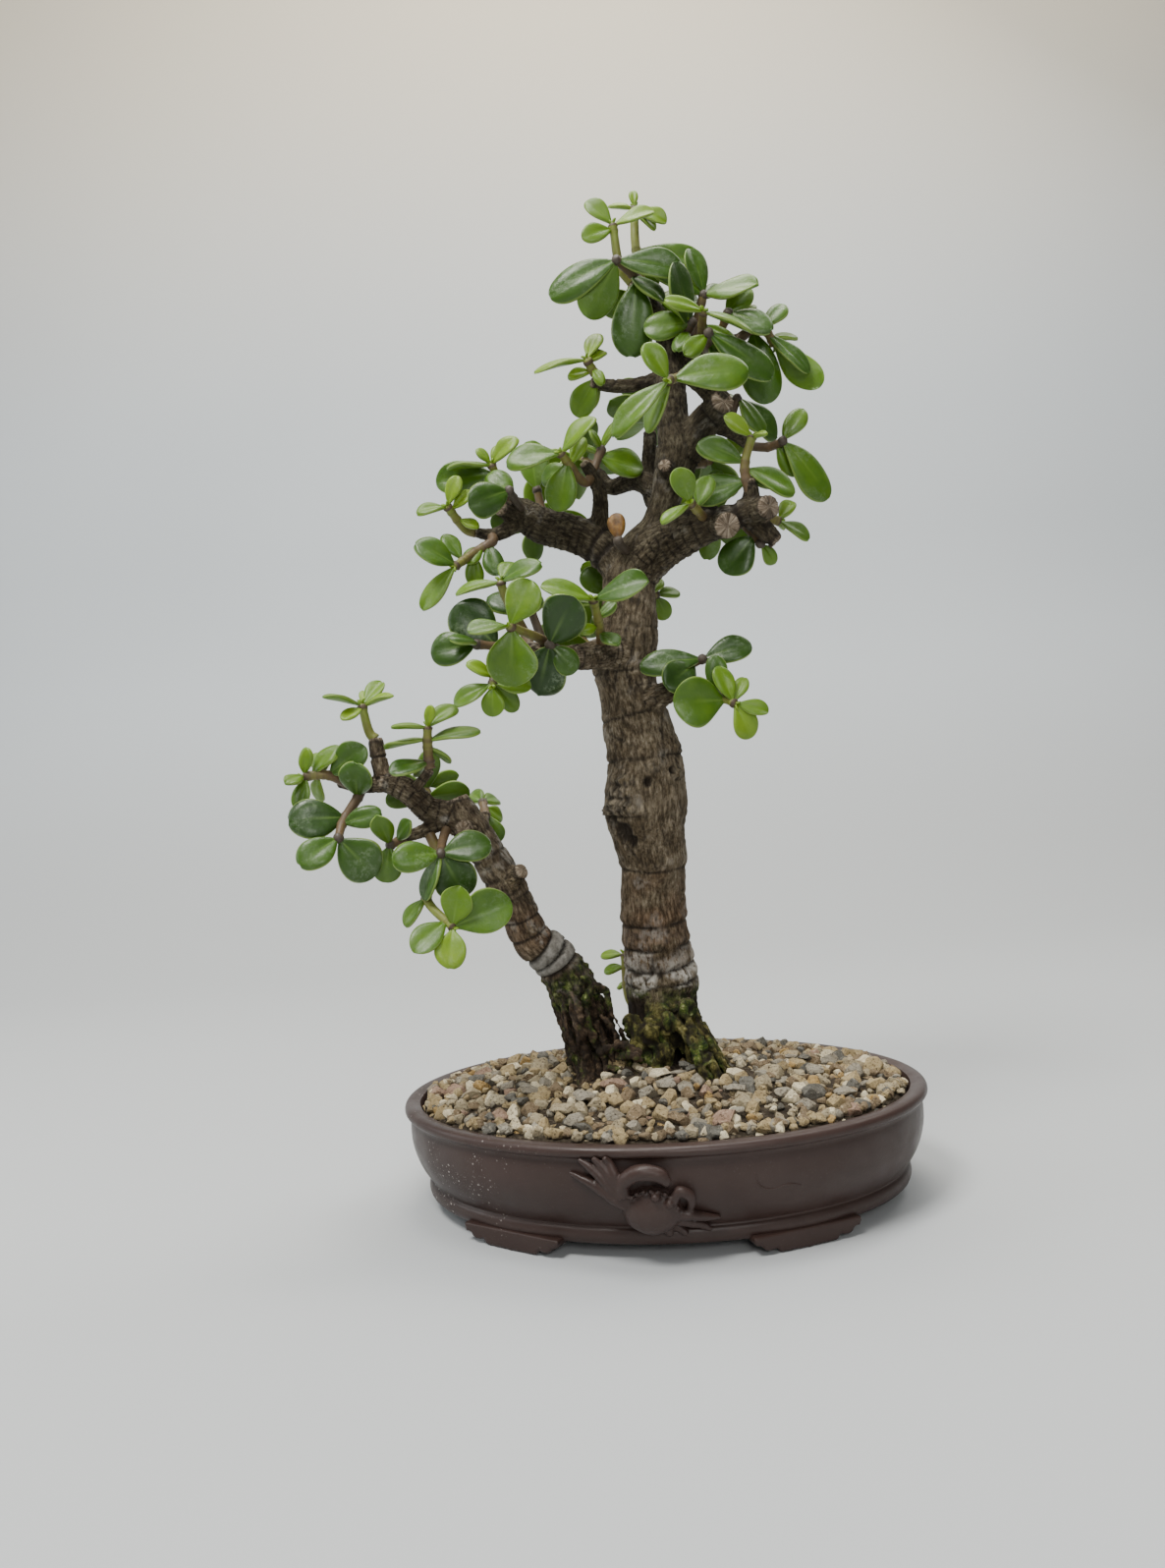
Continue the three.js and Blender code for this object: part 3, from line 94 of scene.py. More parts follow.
LIMBS = [
  [[18.3, 0, 210.1, 5.1], [22.5, -2, 216.1, 4.8], [26.4, -5, 220.5, 4.2], [29.9, -8, 223.2, 3.6],
    [26.8, -10, 226.6, 3], [22.5, -13, 229.1, 2.5], [18.5, -18, 228.6, 1.9]],
  [[27, -4, 220.5, 3], [35.2, 2, 218.2, 2.4], [39.6, 6, 215.7, 1.9]],
  [[4.6, 4, 180.7, 6.9], [9.7, 0, 185, 6.9], [16.7, -4, 187.9, 6.2], [23.4, -8, 189.5, 5.4],
    [29.7, -11, 189.8, 4.3], [34.5, -13, 191.2, 3.8], [39.7, -16, 190.9, 3.3]],
  [[34.9, -12, 190.4, 2.6], [36.1, -14, 196.5, 2.2], [35.6, -15, 199.9, 1.6]],
  [[1.7, 4, 177.1, 6.9], [-3.3, 6, 185.4, 5.8], [-9.3, 8, 190.9, 5.6], [-16.5, 9, 194.3, 5.6],
    [-23.7, 9, 196.9, 5.4], [-29.2, 8, 200.5, 4.6], [-32.5, 6, 202.3, 3.2]],
  [[-28.4, 8, 199.2, 2.8], [-33.8, 4, 194.6, 2.3], [-38, 1.5, 193, 1.9], [-42.5, 2, 194.2, 1.5]],
  [[-6.9, 8, 189.2, 3.4], [-5.6, 7, 198.7, 2.6], [-5.3, 6, 203.9, 2.3], [-7.2, 4, 209, 2],
    [-9.6, 2, 212.7, 1.6]],
  [[13, 7, 204.1, 3.4], [5.5, 14, 209.5, 3], [-1.4, 18, 209, 2.4], [-5.2, 20, 214.7, 1.8]],
  [[12.1, 5, 196.3, 3], [10, 14, 205.9, 2.4], [10.9, 18, 216, 2.4], [12, 20, 225.7, 2.1]],
  [[0.7, 3, 155.6, 5.2], [-7.3, -4, 155.9, 4.4], [-12.5, -10, 154.4, 4], [-16.7, -14, 153.9, 3.6]],
  [[-16.4, -13, 154.2, 2.8], [-22.8, -17, 155.4, 2.2], [-28.2, -16, 156.9, 1.9],
    [-37.9, -14, 155.7, 1.6]],
  [[17, 3, 236, 3], [8, 4, 234.8, 2.1], [0, 4, 235, 1.9], [-6, 3, 236, 1.5]],
  [[17.5, 3, 238.5, 3.2], [24, 2, 242.5, 2.7], [31, 1.5, 244, 2.2], [38, 1, 245, 1.7]],
  [[1, 3, 140, 5], [9, -2, 143, 3.5], [14, -4, 144.5, 3]],
]
ROOTS = [
  [[7, 7, 53, 5.4], [8.5, -1, 46, 5], [13, -7, 38, 4], [17.5, -15.5, 28, 2]],
  [[10, 9, 50, 5.2], [15, 2, 43, 4.2], [20, -3, 36, 3.2], [25.5, -6, 28.5, 2]],
  [[3.5, 7, 54, 6.4], [1, -2, 45, 6.6], [-0.5, -8, 34, 4.6], [-1, -11, 28.5, 3]],
  [[9, 16, 52, 5], [14, 26, 42, 4], [19, 33, 30, 2.4]],
  [[1, 18, 50, 5], [-4, 28, 40, 3.6], [-7, 34, 29, 2]],
]
STUBS = [
  [[27.5, -5, 221.5, 3.5], [30.5, -12, 222.8, 3.4]],
  [[27, -9, 189, 4], [28.2, -18.5, 186.4, 3.6]],
  [[37, -14, 191, 3.5], [39.6, -20.5, 190.3, 3.4]],
  [[15, 0, 206, 2.4], [13, -7, 207.6, 1.9]],
  [[37, -12, 188.5, 3.2], [42.5, -12, 182.3, 2.3]],
  [[-30.5, 6, 199.5, 3.2], [-35, -2, 200, 2.2]],
]
SECOND_TRUNK = [
  [-14.5, 7, 21, 6.8], [-15.2, 6, 30.4, 7.9], [-18.1, 6, 39.3, 7.9], [-21.3, 5, 51.4, 7.3],
  [-24.9, 3, 61.9, 6.6], [-28.7, 1, 69.2, 6], [-34.3, -1, 75, 5.7], [-37.7, -3, 84.9, 5.4],
  [-40.8, -4, 92.3, 5.5], [-44, -5, 99.1, 5.2], [-47.4, -6, 105.6, 5], [-51.3, -7, 112, 5.3],
  [-52.7, -7, 117.1, 3.6],
]
SECOND_LIMBS = [
  [[-49.9, -7, 109.3, 4.6], [-56.2, -8, 112.7, 4.2], [-60.4, -9, 114.4, 3.7],
    [-64.4, -10, 118.9, 3.6], [-69.1, -10, 122, 3.3], [-72.9, -10, 123.1, 2.8]],
  [[-71.8, -10, 122.3, 2.6], [-73.3, -9, 128.9, 2.4], [-74.1, -8, 135.4, 2.2]],
  [[-71.9, -10, 122.4, 2.6], [-78.7, -9, 122.4, 2.2], [-85.2, -8, 124.2, 1.9]],
  [[-64.9, -10, 118.8, 2.2], [-60.9, -13, 122.8, 1.5], [-58.3, -14, 125.6, 1.4]],
  [[-54.9, -8, 111.3, 2.4], [-62.6, -12, 108.3, 1.8], [-67.5, -13, 107, 1.4]],
  [[-47.2, -5, 105.4, 2.4], [-46.5, 6, 109, 1.6], [-46.1, 10, 111.8, 1.5]],
]
SECOND_ROOTS = [
  [[-17, 2, 40, 5], [-20, -4, 34, 3.8], [-24, -10, 27.5, 2]],
  [[-18, 8, 40, 4.6], [-24, 13, 34, 3.2], [-29, 17, 27, 1.8]],
]
SECOND_STUBS = [
  [[-40.4, -5, 92.3, 3], [-34.9, -9.5, 95.5, 2.2]],
  [[-48.5, -7, 107, 4], [-50.5, -12.5, 107.8, 2.5]],
]

# Shoots that are seen: name, stem points, age at the foot and at the tip (1 is old), then its leaves:
# place along the stem, bearing (0 right, 90 away), rise in degrees, length, how far the upper face
# turns from the sky (0) to the front (1) or to the back (-1), and a width share of its own
SEEN_SHOOTS = [
  ['left_crown', [[-75.5, -8, 137], [-77, -9, 145]], 0.3, 0.0, [
    [1, 220, 20, 11, 0.3], [0.95, 40, 50, 9.5, 0.5], [0.95, 355, 25, 9, 0.2],
    [0.9, 240, -15, 8, 0.6], [1, 85, 55, 5, 0.6]]],
  ['left_pagoda', [[-58.5, -14, 126.5], [-58.5, -15, 132], [-58, -16, 137]], 0.75, 0.1, [
    [1, 210, 10, 9.5, 0.3], [1, 25, 40, 10, 0.5], [1, 295, 55, 6, 0.8], [0.65, 0, 15, 14, 0.3],
    [0.7, 180, 0, 11.5, 0.2], [0.5, 55, -20, 9, 0.3], [0.1, 220, -5, 11.5, 0.4],
    [0.15, 140, -25, 10, 0.3]]],
  ['left_end', [[-83, -9, 123.5], [-87.5, -12, 126], [-93.5, -13, 126]], 0.75, 0.3, [
    [1, 295, 65, 7.5, 0.7], [1, 250, -5, 8, 0.6], [0.95, 240, -60, 9, 0.8],
    [0.85, 0, 50, 10.5, 0.5], [0.45, 345, 45, 12.5, 0.8, 0.7], [0.6, 110, 45, 10, 0.4],
    [0.7, 115, -50, 9, 0.6]]],
  ['left_lower', [[-79, -10, 120.5], [-83, -17, 112.5], [-83.5, -21, 108.5]], 0.8, 0.6, [
    [0.1, 285, 55, 11, 1, 0.9], [0.55, 195, 0, 14.5, 0.8, 0.8], [0.7, 350, 15, 10.5, 0.8],
    [1, 220, -25, 12, 0.8, 0.75], [1, 0, -50, 13.5, 0.9, 0.95]]],
  ['left_inner', [[-67, -13, 107], [-70.5, -16, 105.5]], 0.7, 0.6, [
    [1, 250, 55, 10, 0.7], [0.5, 305, 40, 8, 0.6], [1, 255, -45, 10, 0.8, 0.8]]],
  ['left_cross', [[-56, -12, 107], [-56, -22, 102.5]], 0.7, 0.6, [
    [1, 210, 0, 12.5, 0.7, 0.7], [1, 0, 10, 13, 0.7, 0.75], [0.95, 355, -65, 13, 1, 0.95],
    [0.9, 205, -70, 13, 0.1]]],
  ['left_drop', [[-58, -13, 100.5], [-61, -20, 91], [-53.5, -27, 83]], 0.6, 0.05, [
    [0.5, 185, 40, 12.5, 0.9, 0.8], [0.5, 220, -35, 9, 0.3], [0.9, 225, -25, 12, 0.6, 0.7],
    [1, 315, 70, 10.5, 0.9, 0.85], [1, 0, 20, 16, 0.9, 0.75], [1, 265, -55, 10.5, 0.9, 0.8]]],
  ['left_back_tuft', [[-46, 10, 111], [-47, 14, 115]], 0.6, 0.5, [
    [1, 125, 25, 8, 0.6, 0.8], [1, 55, 10, 7, 0.6, 0.8], [0.65, 35, -20, 7, 0.7, 0.75],
    [0.2, 0, -70, 9, 0.8, 0.75]]],
  ['base_sprout', [[-6, 24, 49.5], [-7, 26, 64]], 0.4, 0.2, [
    [1, 165, 5, 7, 0.4], [0.75, 170, -5, 6.5, 0.4], [0.4, 130, -15, 5, 0.5], [1, 10, 55, 5.5, 0.6]]],
  ['right_lone_inner', [[12, -4, 148.5], [20, -8, 151.5]], 0.8, 0.6, [
    [1, 185, 0, 17, 0.7, 0.5], [1, 350, 15, 13.5, 0.7, 0.65], [0.75, 180, -40, 13, 0.9, 0.8]]],
  ['right_lone_outer', [[17, -7, 141.5], [22.5, -11, 141], [27, -15, 138]], 0.9, 0.1, [
    [0.8, 180, 0, 15, 1, 0.95], [0.55, 0, 75, 10.5, 0.5], [1, 190, 70, 10.5, 0.8],
    [1, 30, 60, 8, 0.5], [1, 350, -15, 9, 0.7], [1, 355, -65, 10, 0.8, 0.75]]],
  ['low_front', [[-23.5, -17, 157.5], [-32.5, -32, 161]], 0.7, 0.2, [
    [1, 345, 60, 12.5, 0.9, 0.8], [1, 210, 0, 11, 0.4, 0.6], [0.95, 180, -85, 14.5, 1, 0.95]]],
  ['low_left_tip', [[-30, -14, 157], [-42.5, -20, 158.5]], 0.9, 0.6, [
    [1, 185, -5, 12, 0.8, 0.85], [0.95, 225, 15, 9, 0.4], [0.55, 195, 35, 15.5, 0.9, 0.85]]],
  ['low_tuft', [[-37, -15, 155.5], [-38.5, -25, 147]], 0.5, 0.1, [
    [1, 185, -20, 11, 0.6], [1, 180, -85, 8, 0.9, 0.8], [1, 0, -5, 9.5, 0.7],
    [0.95, 10, -60, 10, 0.7], [0.8, 220, 30, 8, 0.6]]],
  ['low_dark', [[-20.5, -16, 155.5], [-22.5, -25, 156.5]], 1, 0.9, [
    [1, 310, 45, 14, 1, 0.9], [1, 180, -70, 15, 0.9, 0.9], [0.9, 0, -50, 9, 0.9, 0.8]]],
  ['low_behind', [[-25, -12, 158.5], [-27.5, -8, 168.5]], 0.9, 0.8, [
    [1, 180, 25, 12.5, 0.6, 0.75], [0.9, 90, 40, 11, 0.7]]],
  ['low_pair', [[-29.5, -12.5, 161.5], [-34.5, -16, 173], [-35, -17, 175.5]], 0.8, 0.15, [
    [1, 190, -5, 12, 0.4], [1, 330, 20, 12, 0.6], [1, 60, 50, 9, 0.4], [0.6, 40, 20, 8, 0.6]]],
  ['low_bright', [[-8.5, -10, 158.5], [-10, -22, 168]], 0.7, 0.1, [
    [1, 200, 20, 14, 0.6], [1, 330, 15, 15.5, 0.6], [0.9, 180, 10, 12, 0.4],
    [0.35, 225, -10, 6, 0.7], [0.5, 350, 45, 6.5, 0.5], [0.2, 305, -25, 8, 0.7]]],
  ['arm_left_pair', [[-45, 2, 195], [-49.5, -4, 200.5]], 0.5, 0.1, [
    [1, 325, 65, 8.5, 0.6], [1, 205, -5, 8.5, 0.5], [0.85, 350, 40, 7.5, 0.8],
    [0.5, 350, -25, 6, 0.8]]],
  ['arm_left_low', [[-37.5, -1, 190.5], [-42, -2, 188], [-48, -7, 183]], 0.8, 0.25, [
    [1, 210, 30, 12, 0.7, 0.75], [1, 190, -45, 15, 0.5, 0.5], [0.8, 180, 60, 9, 0.6],
    [0.45, 180, -85, 9, 0.8], [0.2, 205, -35, 7, 0.9, 0.75], [0.1, 265, -75, 10, 0.8]]],
  ['arm_left_top', [[-33, 6, 204.5], [-36.5, 2, 213.5]], 0.8, 0.2, [
    [1, 210, -5, 12.5, 0.4], [1, 330, 40, 10, 0.6], [1, 205, 50, 5.5, 0.6], [1, 0, 70, 5.5, 0.6],
    [0.7, 185, 0, 17, 0.8]]],
  ['arm_left_dark', [[-29, 5, 200.5], [-31.5, -6, 203.5]], 1, 1, [
    [1, 210, -20, 12.5, 1, 0.8], [0.7, 150, 45, 10, 0.7, 0.8]]],
  ['arm_fork', [[-9.5, 2, 206.5], [-16, -6, 213]], 0.7, 0.3, [
    [1, 185, 0, 15, 0.6], [1, 340, 45, 13, 0.5], [0.6, 0, 65, 8.5, 0.6],
    [0.75, 180, -75, 13.5, 0.9, 0.7], [0.5, 160, -5, 10, 0.7, 0.75]]],
  ['arm_under', [[-23, 13, 201], [-24, 14, 208.5]], 0.6, 0.6, [
    [1, 150, 85, 14, -0.4, 0.7], [0.2, 105, -80, 16, 0.6]]],
  ['arm_inner', [[-7, 5, 210], [-4, 6, 217]], 0.9, 0.6, [
    [1, 0, 65, 9, 0.2], [0.7, 5, -25, 13, 0.8, 0.8], [1, 235, 50, 6, 0.5], [0.8, 170, 35, 7, 0.4]]],
  ['mid_left', [[-1.5, 5, 235.5], [-5, 2, 239], [-6.5, 0, 241.5]], 0.6, 0.1, [
    [1, 180, 0, 15, 0.3, 0.5], [1, 40, 65, 10, 0.5], [0.9, 30, 40, 7, 0.6],
    [0.7, 310, -50, 6, 0.8], [0.35, 180, -35, 12, 0.8, 0.7], [0.25, 155, -45, 9, 0.8, 0.7],
    [0.6, 180, -10, 7, 0.7]]],
  ['top_left', [[5, 0, 267.5], [3.5, -2, 279]], 0.3, 0.05, [
    [1, 185, 50, 10, 0.7, 0.6], [1, 345, 15, 11.5, 0.6, 0.5], [0.9, 205, -15, 9.5, 0.8, 0.65]]],
  ['top_tip', [[10.5, 2, 263], [10, 3, 276.5], [10.5, 4, 286.5]], 0.4, 0.05, [
    [1, 0, 90, 5, 0.5], [1, 185, 15, 7, 0.5], [1, 350, -25, 9.5, 0.7, 0.55],
    [0.95, 10, -30, 7, 0.6], [0.45, 0, -10, 19.5, 0.8, 0.45]]],
  ['top_crown', [[10, 0, 263], [3.5, -7, 266.5]], 0.9, 0.6, [
    [1, 180, -20, 20.5, 0.8, 0.5], [1, 150, -50, 16.5, -0.6, 0.7], [0.1, 180, -70, 20.5, 0.9, 0.6],
    [1, 355, -10, 18.5, 0.8, 0.5], [0.4, 25, -50, 11.5, 0.5]]],
  ['upper_mid', [[24.5, 4, 246], [28.5, 0, 258]], 0.9, 0.5, [
    [1, 185, 30, 16, 0.7, 0.6], [0.8, 160, 25, 14, 0.6, 0.7], [1, 330, 0, 15.5, 0.7, 0.6],
    [1, 180, 75, 13, 0.4, 0.6], [0.9, 25, 40, 9, 0.5]]],
  ['upper_inner', [[22, -0.5, 244.5], [24, -4, 248.5]], 0.9, 0.7, [
    [1, 200, 40, 9, 0.4, 0.5], [1, 180, 0, 13, 1, 0.7], [0.6, 225, -45, 8, 0.5],
    [0.8, 180, 55, 17, 0.5]]],
  ['upper_fold', [[26.5, -0.5, 244], [26.5, -12, 248]], 0.7, 0.4, [
    [1, 205, 15, 11, 0.7, 0.5], [1, 355, -20, 14, 0.4, 0.55], [0.6, 5, -35, 11, 0.6]]],
  ['upper_right_fan', [[32, 4, 246], [35, -2, 251.5]], 0.8, 0.5, [
    [1, 335, -35, 14, 0.7, 0.6], [0.9, 85, 85, 11, 0.5, 0.7], [0.7, 0, 40, 10.5, 0.5]]],
  ['upper_right_end', [[40.5, -0.5, 246], [44.5, -3, 246], [47.5, -2, 241.5]], 0.8, 0.4, [
    [0.65, 340, -45, 16, 0.6, 0.35], [1, 5, -45, 17.5, -0.7, 0.5], [0.5, 0, 50, 9, 0.5, 0.7],
    [0.15, 0, -80, 20, 0.7, 0.6], [0.85, 25, 20, 9, 0.4]]],
  ['upper_right_low', [[28, -1.5, 241.5], [27.5, -12, 242]], 0.8, 0.7, [
    [1, 0, -35, 21, 0.8, 0.45], [0.9, 205, -35, 9, 0.8], [0.4, 10, -40, 12, 0.6]]],
  ['leader_cross', [[20, -13, 230], [14, -26, 224.5]], 0.9, 0.3, [
    [1, 210, 55, 10.5, 0.9, 0.65], [1, 180, -35, 19.5, 0.6, 0.4], [0.9, 150, -50, 14, 0.5, 0.65],
    [0.75, 350, 5, 19.5, 0.8, 0.6]]],
  ['right_top', [[34.5, 4, 222], [36.5, 2, 228]], 0.9, 0.8, [
    [1, 10, -50, 16, 0.6, 0.5], [1, 0, -20, 12, 0.5, 0.6], [0.9, 130, 30, 9, 0.5]]],
  ['right_pagoda', [[35.5, -14, 195.5], [34.5, -15, 203.5], [37, -15, 211]], 0.8, 0.1, [
    [1, 190, 45, 9, 0.7, 0.65], [1, 300, 0, 5, 0.6], [0.55, 185, 30, 13.5, 0.7, 0.6],
    [0.45, 355, -25, 14.5, 0.6, 0.6], [0.25, 180, -20, 15, 0.8, 0.6], [0.3, 5, -35, 10, 0.6]]],
  ['right_arch', [[39.5, 6, 215.5], [45, 3, 213.5], [48.5, 0, 214]], 0.9, 0.6, [
    [1, 0, -50, 20.5, 0.6, 0.5], [1, 0, 55, 11, 0.7, 0.6], [0.8, 0, -55, 10.5, 0.8],
    [0.55, 140, 85, 9, 0.5]]],
  ['right_end', [[39.5, -8, 191], [44.5, -6, 189.5]], 0.8, 0.3, [
    [1, 335, -30, 9.5, 0.5, 0.5], [1, 25, 50, 8, 0.6], [0.8, 50, -10, 5, 0.6]]],
  ['right_under', [[35, -6, 189], [38.5, -9, 183]], 0.8, 0.7, [
    [0.6, 180, -35, 12.5, 0.9, 0.85], [1, 30, -45, 7, 0.8]]],
  ['right_heart', [[22.5, -12, 190.5], [18, -23, 192]], 0.7, 0.3, [
    [1, 240, 50, 9.5, 0.9, 0.7], [1, 190, -25, 9, 0.4, 0.5], [0.6, 0, 65, 9.5, 0.6]]],
  ['trunk_back_tuft', [[5, 10, 174], [10, 18, 175]], 0.6, 0.5, [
    [1, 20, 10, 8, 0.7], [1, 15, -65, 7.5, 0.8, 0.8], [0.7, 45, 50, 7, 0.6]]],
  ['withered', [[0, -3, 185.5], [-1.5, -6, 187]], 1, 1, [
    [1, 180, 90, 7.5, 1, 0.7]]],
]

# Shoots on the far side: name, foot, tip, age at foot and tip, leaf pairs, leaf length at foot and
# tip, and the bearing of the first pair
BACK_SHOOTS = [
  ['back_top', [13, 5, 256], [12, 15, 262], 0.7, 0.3, 3, 14, 12, 20],
  ['back_leader_left', [-5.2, 20, 215], [-10, 26, 221], 0.7, 0.2, 3, 13, 11, 10],
  ['back_leader_up', [12, 20.5, 226], [13, 27, 235], 0.8, 0.3, 3, 15, 12, 45],
  ['back_right', [23, 6, 211], [31, 15, 215], 0.8, 0.4, 3, 14, 12, 80],
  ['back_right_arm', [24, -3, 190], [29, 11, 196], 0.8, 0.3, 3, 13, 12, 30],
  ['back_fork', [2, 11, 176], [-1, 23, 181], 0.8, 0.3, 3, 14, 12, 70],
  ['back_left_arm', [-22, 14, 198], [-27, 26, 203], 0.8, 0.2, 3, 14, 11, 0],
  ['back_low', [-9, 0, 156.5], [-15, 9, 163], 0.8, 0.3, 3, 13, 11, 25],
  ['back_second', [-61, -5, 116], [-63, 7, 121], 0.8, 0.3, 3, 12, 10, 15],
]

BACK_SEED = 4000

UP = np.array([0.0, 0.0, 1.0])
AWAY = np.array([0.0, 1.0, 0.0])


def mix(a, b, share):
    return a + (b - a) * share


def unit(v):
    return v / np.linalg.norm(v)


def random_from(seed):
    """The same numbers on every run, and the same as in the solids."""
    state = seed

    def draw():
        nonlocal state
        state = (state * 1664525 + 1013904223) % 4294967296
        return state / 4294967296

    return draw


def turned(v, axis, angle):
    """The vector v turned about an axis."""
    axis = unit(axis)
    flat = v - axis * v.dot(axis)
    return axis * v.dot(axis) + flat * math.cos(angle) + np.cross(axis, flat) * math.sin(angle)


# From the layout to the part's own frame
pot_low, pot_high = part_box("pot")
PART_SHIFT = np.array([
    (pot_low.x + pot_high.x) / 2,
    pot_high.y - POT_DEPTH / 2 * MM,
    0.0,
])


def from_pot(points):
    """From the pot's millimetres to the part's metres."""
    return np.asarray(points, float) * MM + PART_SHIFT


def from_plant(points):
    """From the layout's directions to the pot's, both in millimetres."""
    right, away, up = np.moveaxis(np.asarray(points, float), -1, 0)
    cos, sin = math.cos(VIEW_TURN), math.sin(VIEW_TURN)
    return np.stack([right * cos - away * sin, right * sin + away * cos, up], axis=-1)


# Noise on arrays of points
def lattice_value(cell, channel=0):
    """A number from 0 to 1 for each whole-numbered cell."""
    x, y, z = (cell[..., i].astype(np.int64) for i in range(3))
    h = (x * 73856093) ^ (y * 19349663) ^ (z * 83492791) ^ (channel * 2654435761)
    h = (h ^ (h >> 13)) * 1274126177 & 0x7FFFFFFF
    h = (h ^ (h >> 16)) * 668265263 & 0x7FFFFFFF
    return (h ^ (h >> 15)) / 0x7FFFFFFF


def smooth_noise(points, channel=0):
    base = np.floor(points)
    part = points - base
    part = part * part * (3 - 2 * part)
    total = 0.0
    for corner in np.ndindex(2, 2, 2):
        corner = np.array(corner)
        weight = np.prod(np.where(corner == 1, part, 1 - part), axis=-1)
        total = total + weight * lattice_value(base + corner, channel)
    return total * 2 - 1


def layered_noise(points, layers=3, channel=0):
    total, strength = 0.0, 1.0
    for layer in range(layers):
        total = total + strength * smooth_noise(points * 2.03 ** layer, channel + layer)
        strength *= 0.5
    return total / 1.75


def cell_edges(points, channel=0):
    """How far each point is from the border between its two nearest scattered seeds."""
    base = np.floor(points)
    first = np.full(points.shape[:-1], 9.0)
    second = first.copy()
    for step in np.ndindex(3, 3, 3):
        cell = base + np.array(step) - 1
        seed = cell + np.stack([lattice_value(cell, channel + i) for i in range(3)], axis=-1)
        gap = np.linalg.norm(points - seed, axis=-1)
        second = np.minimum(second, np.maximum(first, gap))
        first = np.minimum(first, gap)
    return second - first


def rising(value, low, high):
    """0 below low, 1 above high, and smooth between."""
    share = np.clip((value - low) / (high - low), 0, 1)
    return share * share * (3 - 2 * share)


def patches(points, size, channel, low, high, layers=2):
    """0 to 1 in patches of about the given size."""
    return rising(layered_noise(points / size, layers, channel), low, high)


def noise_vectors(points, channel):
    return np.stack([layered_noise(points, 2, channel + i) for i in range(3)], axis=1)


def bell(gap, width):
    return np.exp(-(gap / width) ** 2)


# Meshes
def placed_mesh(name, places, faces, materials=()):
    mesh = bpy.data.meshes.new(name)
    mesh.from_pydata(np.asarray(places).tolist(), [], faces)
    for material in materials:
        mesh.materials.append(material)
    placed = bpy.data.objects.new(name, mesh)
    bpy.context.scene.collection.objects.link(placed)
    return placed


def mesh_piece(name, node, points, faces, materials, values=None, picks=None, smooth=True):
    """A mesh in a node's place, with a number or vector at each point for each name in values."""
    piece = placed_mesh(name, from_pot(points), faces, materials)
    mesh = piece.data
    for key, numbers in (values or {}).items():
        wide = np.ndim(numbers) == 2
        layer = mesh.attributes.new(key, "FLOAT_VECTOR" if wide else "FLOAT", "POINT")
        layer.data.foreach_set("vector" if wide else "value", np.asarray(numbers, np.float32).ravel())
    if picks is not None:
        mesh.polygons.foreach_set("material_index", np.asarray(picks, np.int32))
    mesh.polygons.foreach_set("use_smooth", np.full(len(mesh.polygons), smooth))
    mesh.update()
    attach(piece, "root")
    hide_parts(node)
    return piece


def ring_faces(rings, sides, start=0):
    """Quads between rings of points, each ring closed on itself."""
    faces = []
    for ring in range(rings - 1):
        for k in range(sides):
            a = start + ring * sides + k
            b = start + ring * sides + (k + 1) % sides
            faces.append([a, b, b + sides, a + sides])
    return faces


def around(sides):
    """Cosines and sines of equal steps once round."""
    turn = np.linspace(0, 2 * math.pi, sides, endpoint=False)
    return np.cos(turn), np.sin(turn)


def closed_rings(rings, sides):
    """Faces of rings that close on a low and a high point, which come after them."""
    faces = ring_faces(rings, sides)
    low = rings * sides
    for k in range(sides):
        following = (k + 1) % sides
        faces.append([low, following, k])
        faces.append([low + 1, low - sides + k, low - sides + following])
    return faces


def joined_meshes(parts):
    """Several (points, faces, values) as one."""
    points, faces, values, count = [], [], {}, 0
    for part_points, part_faces, part_values in parts:
        points.append(part_points)
        faces.extend([[index + count for index in face] for face in part_faces])
        for key, numbers in part_values.items():
            values.setdefault(key, []).append(numbers)
        count += len(part_points)
    return np.concatenate(points), faces, {key: np.concatenate(v) for key, v in values.items()}


def after_modifiers(thing):
    shown = thing.evaluated_get(bpy.context.evaluated_depsgraph_get())
    return bpy.data.meshes.new_from_object(shown)


def fused(parts, voxel, rounds):
    """Points, normals and faces of several meshes grown together into one smoothed skin."""
    scratch = placed_mesh("scratch", *joined_meshes(parts)[:2])
    remesh = scratch.modifiers.new("fuse", "REMESH")
    remesh.mode, remesh.voxel_size = "VOXEL", voxel
    smooth = scratch.modifiers.new("smooth", "SMOOTH")
    smooth.factor, smooth.iterations = 0.5, rounds
    made = after_modifiers(scratch)
    vectors = np.zeros((2, len(made.vertices) * 3))
    for key, numbers in zip(("co", "normal"), vectors):
        made.vertices.foreach_get(key, numbers)
    faces = [list(polygon.vertices) for polygon in made.polygons]
    bpy.data.objects.remove(scratch)
    points, normals = vectors.reshape(2, -1, 3)
    return points, normals, faces


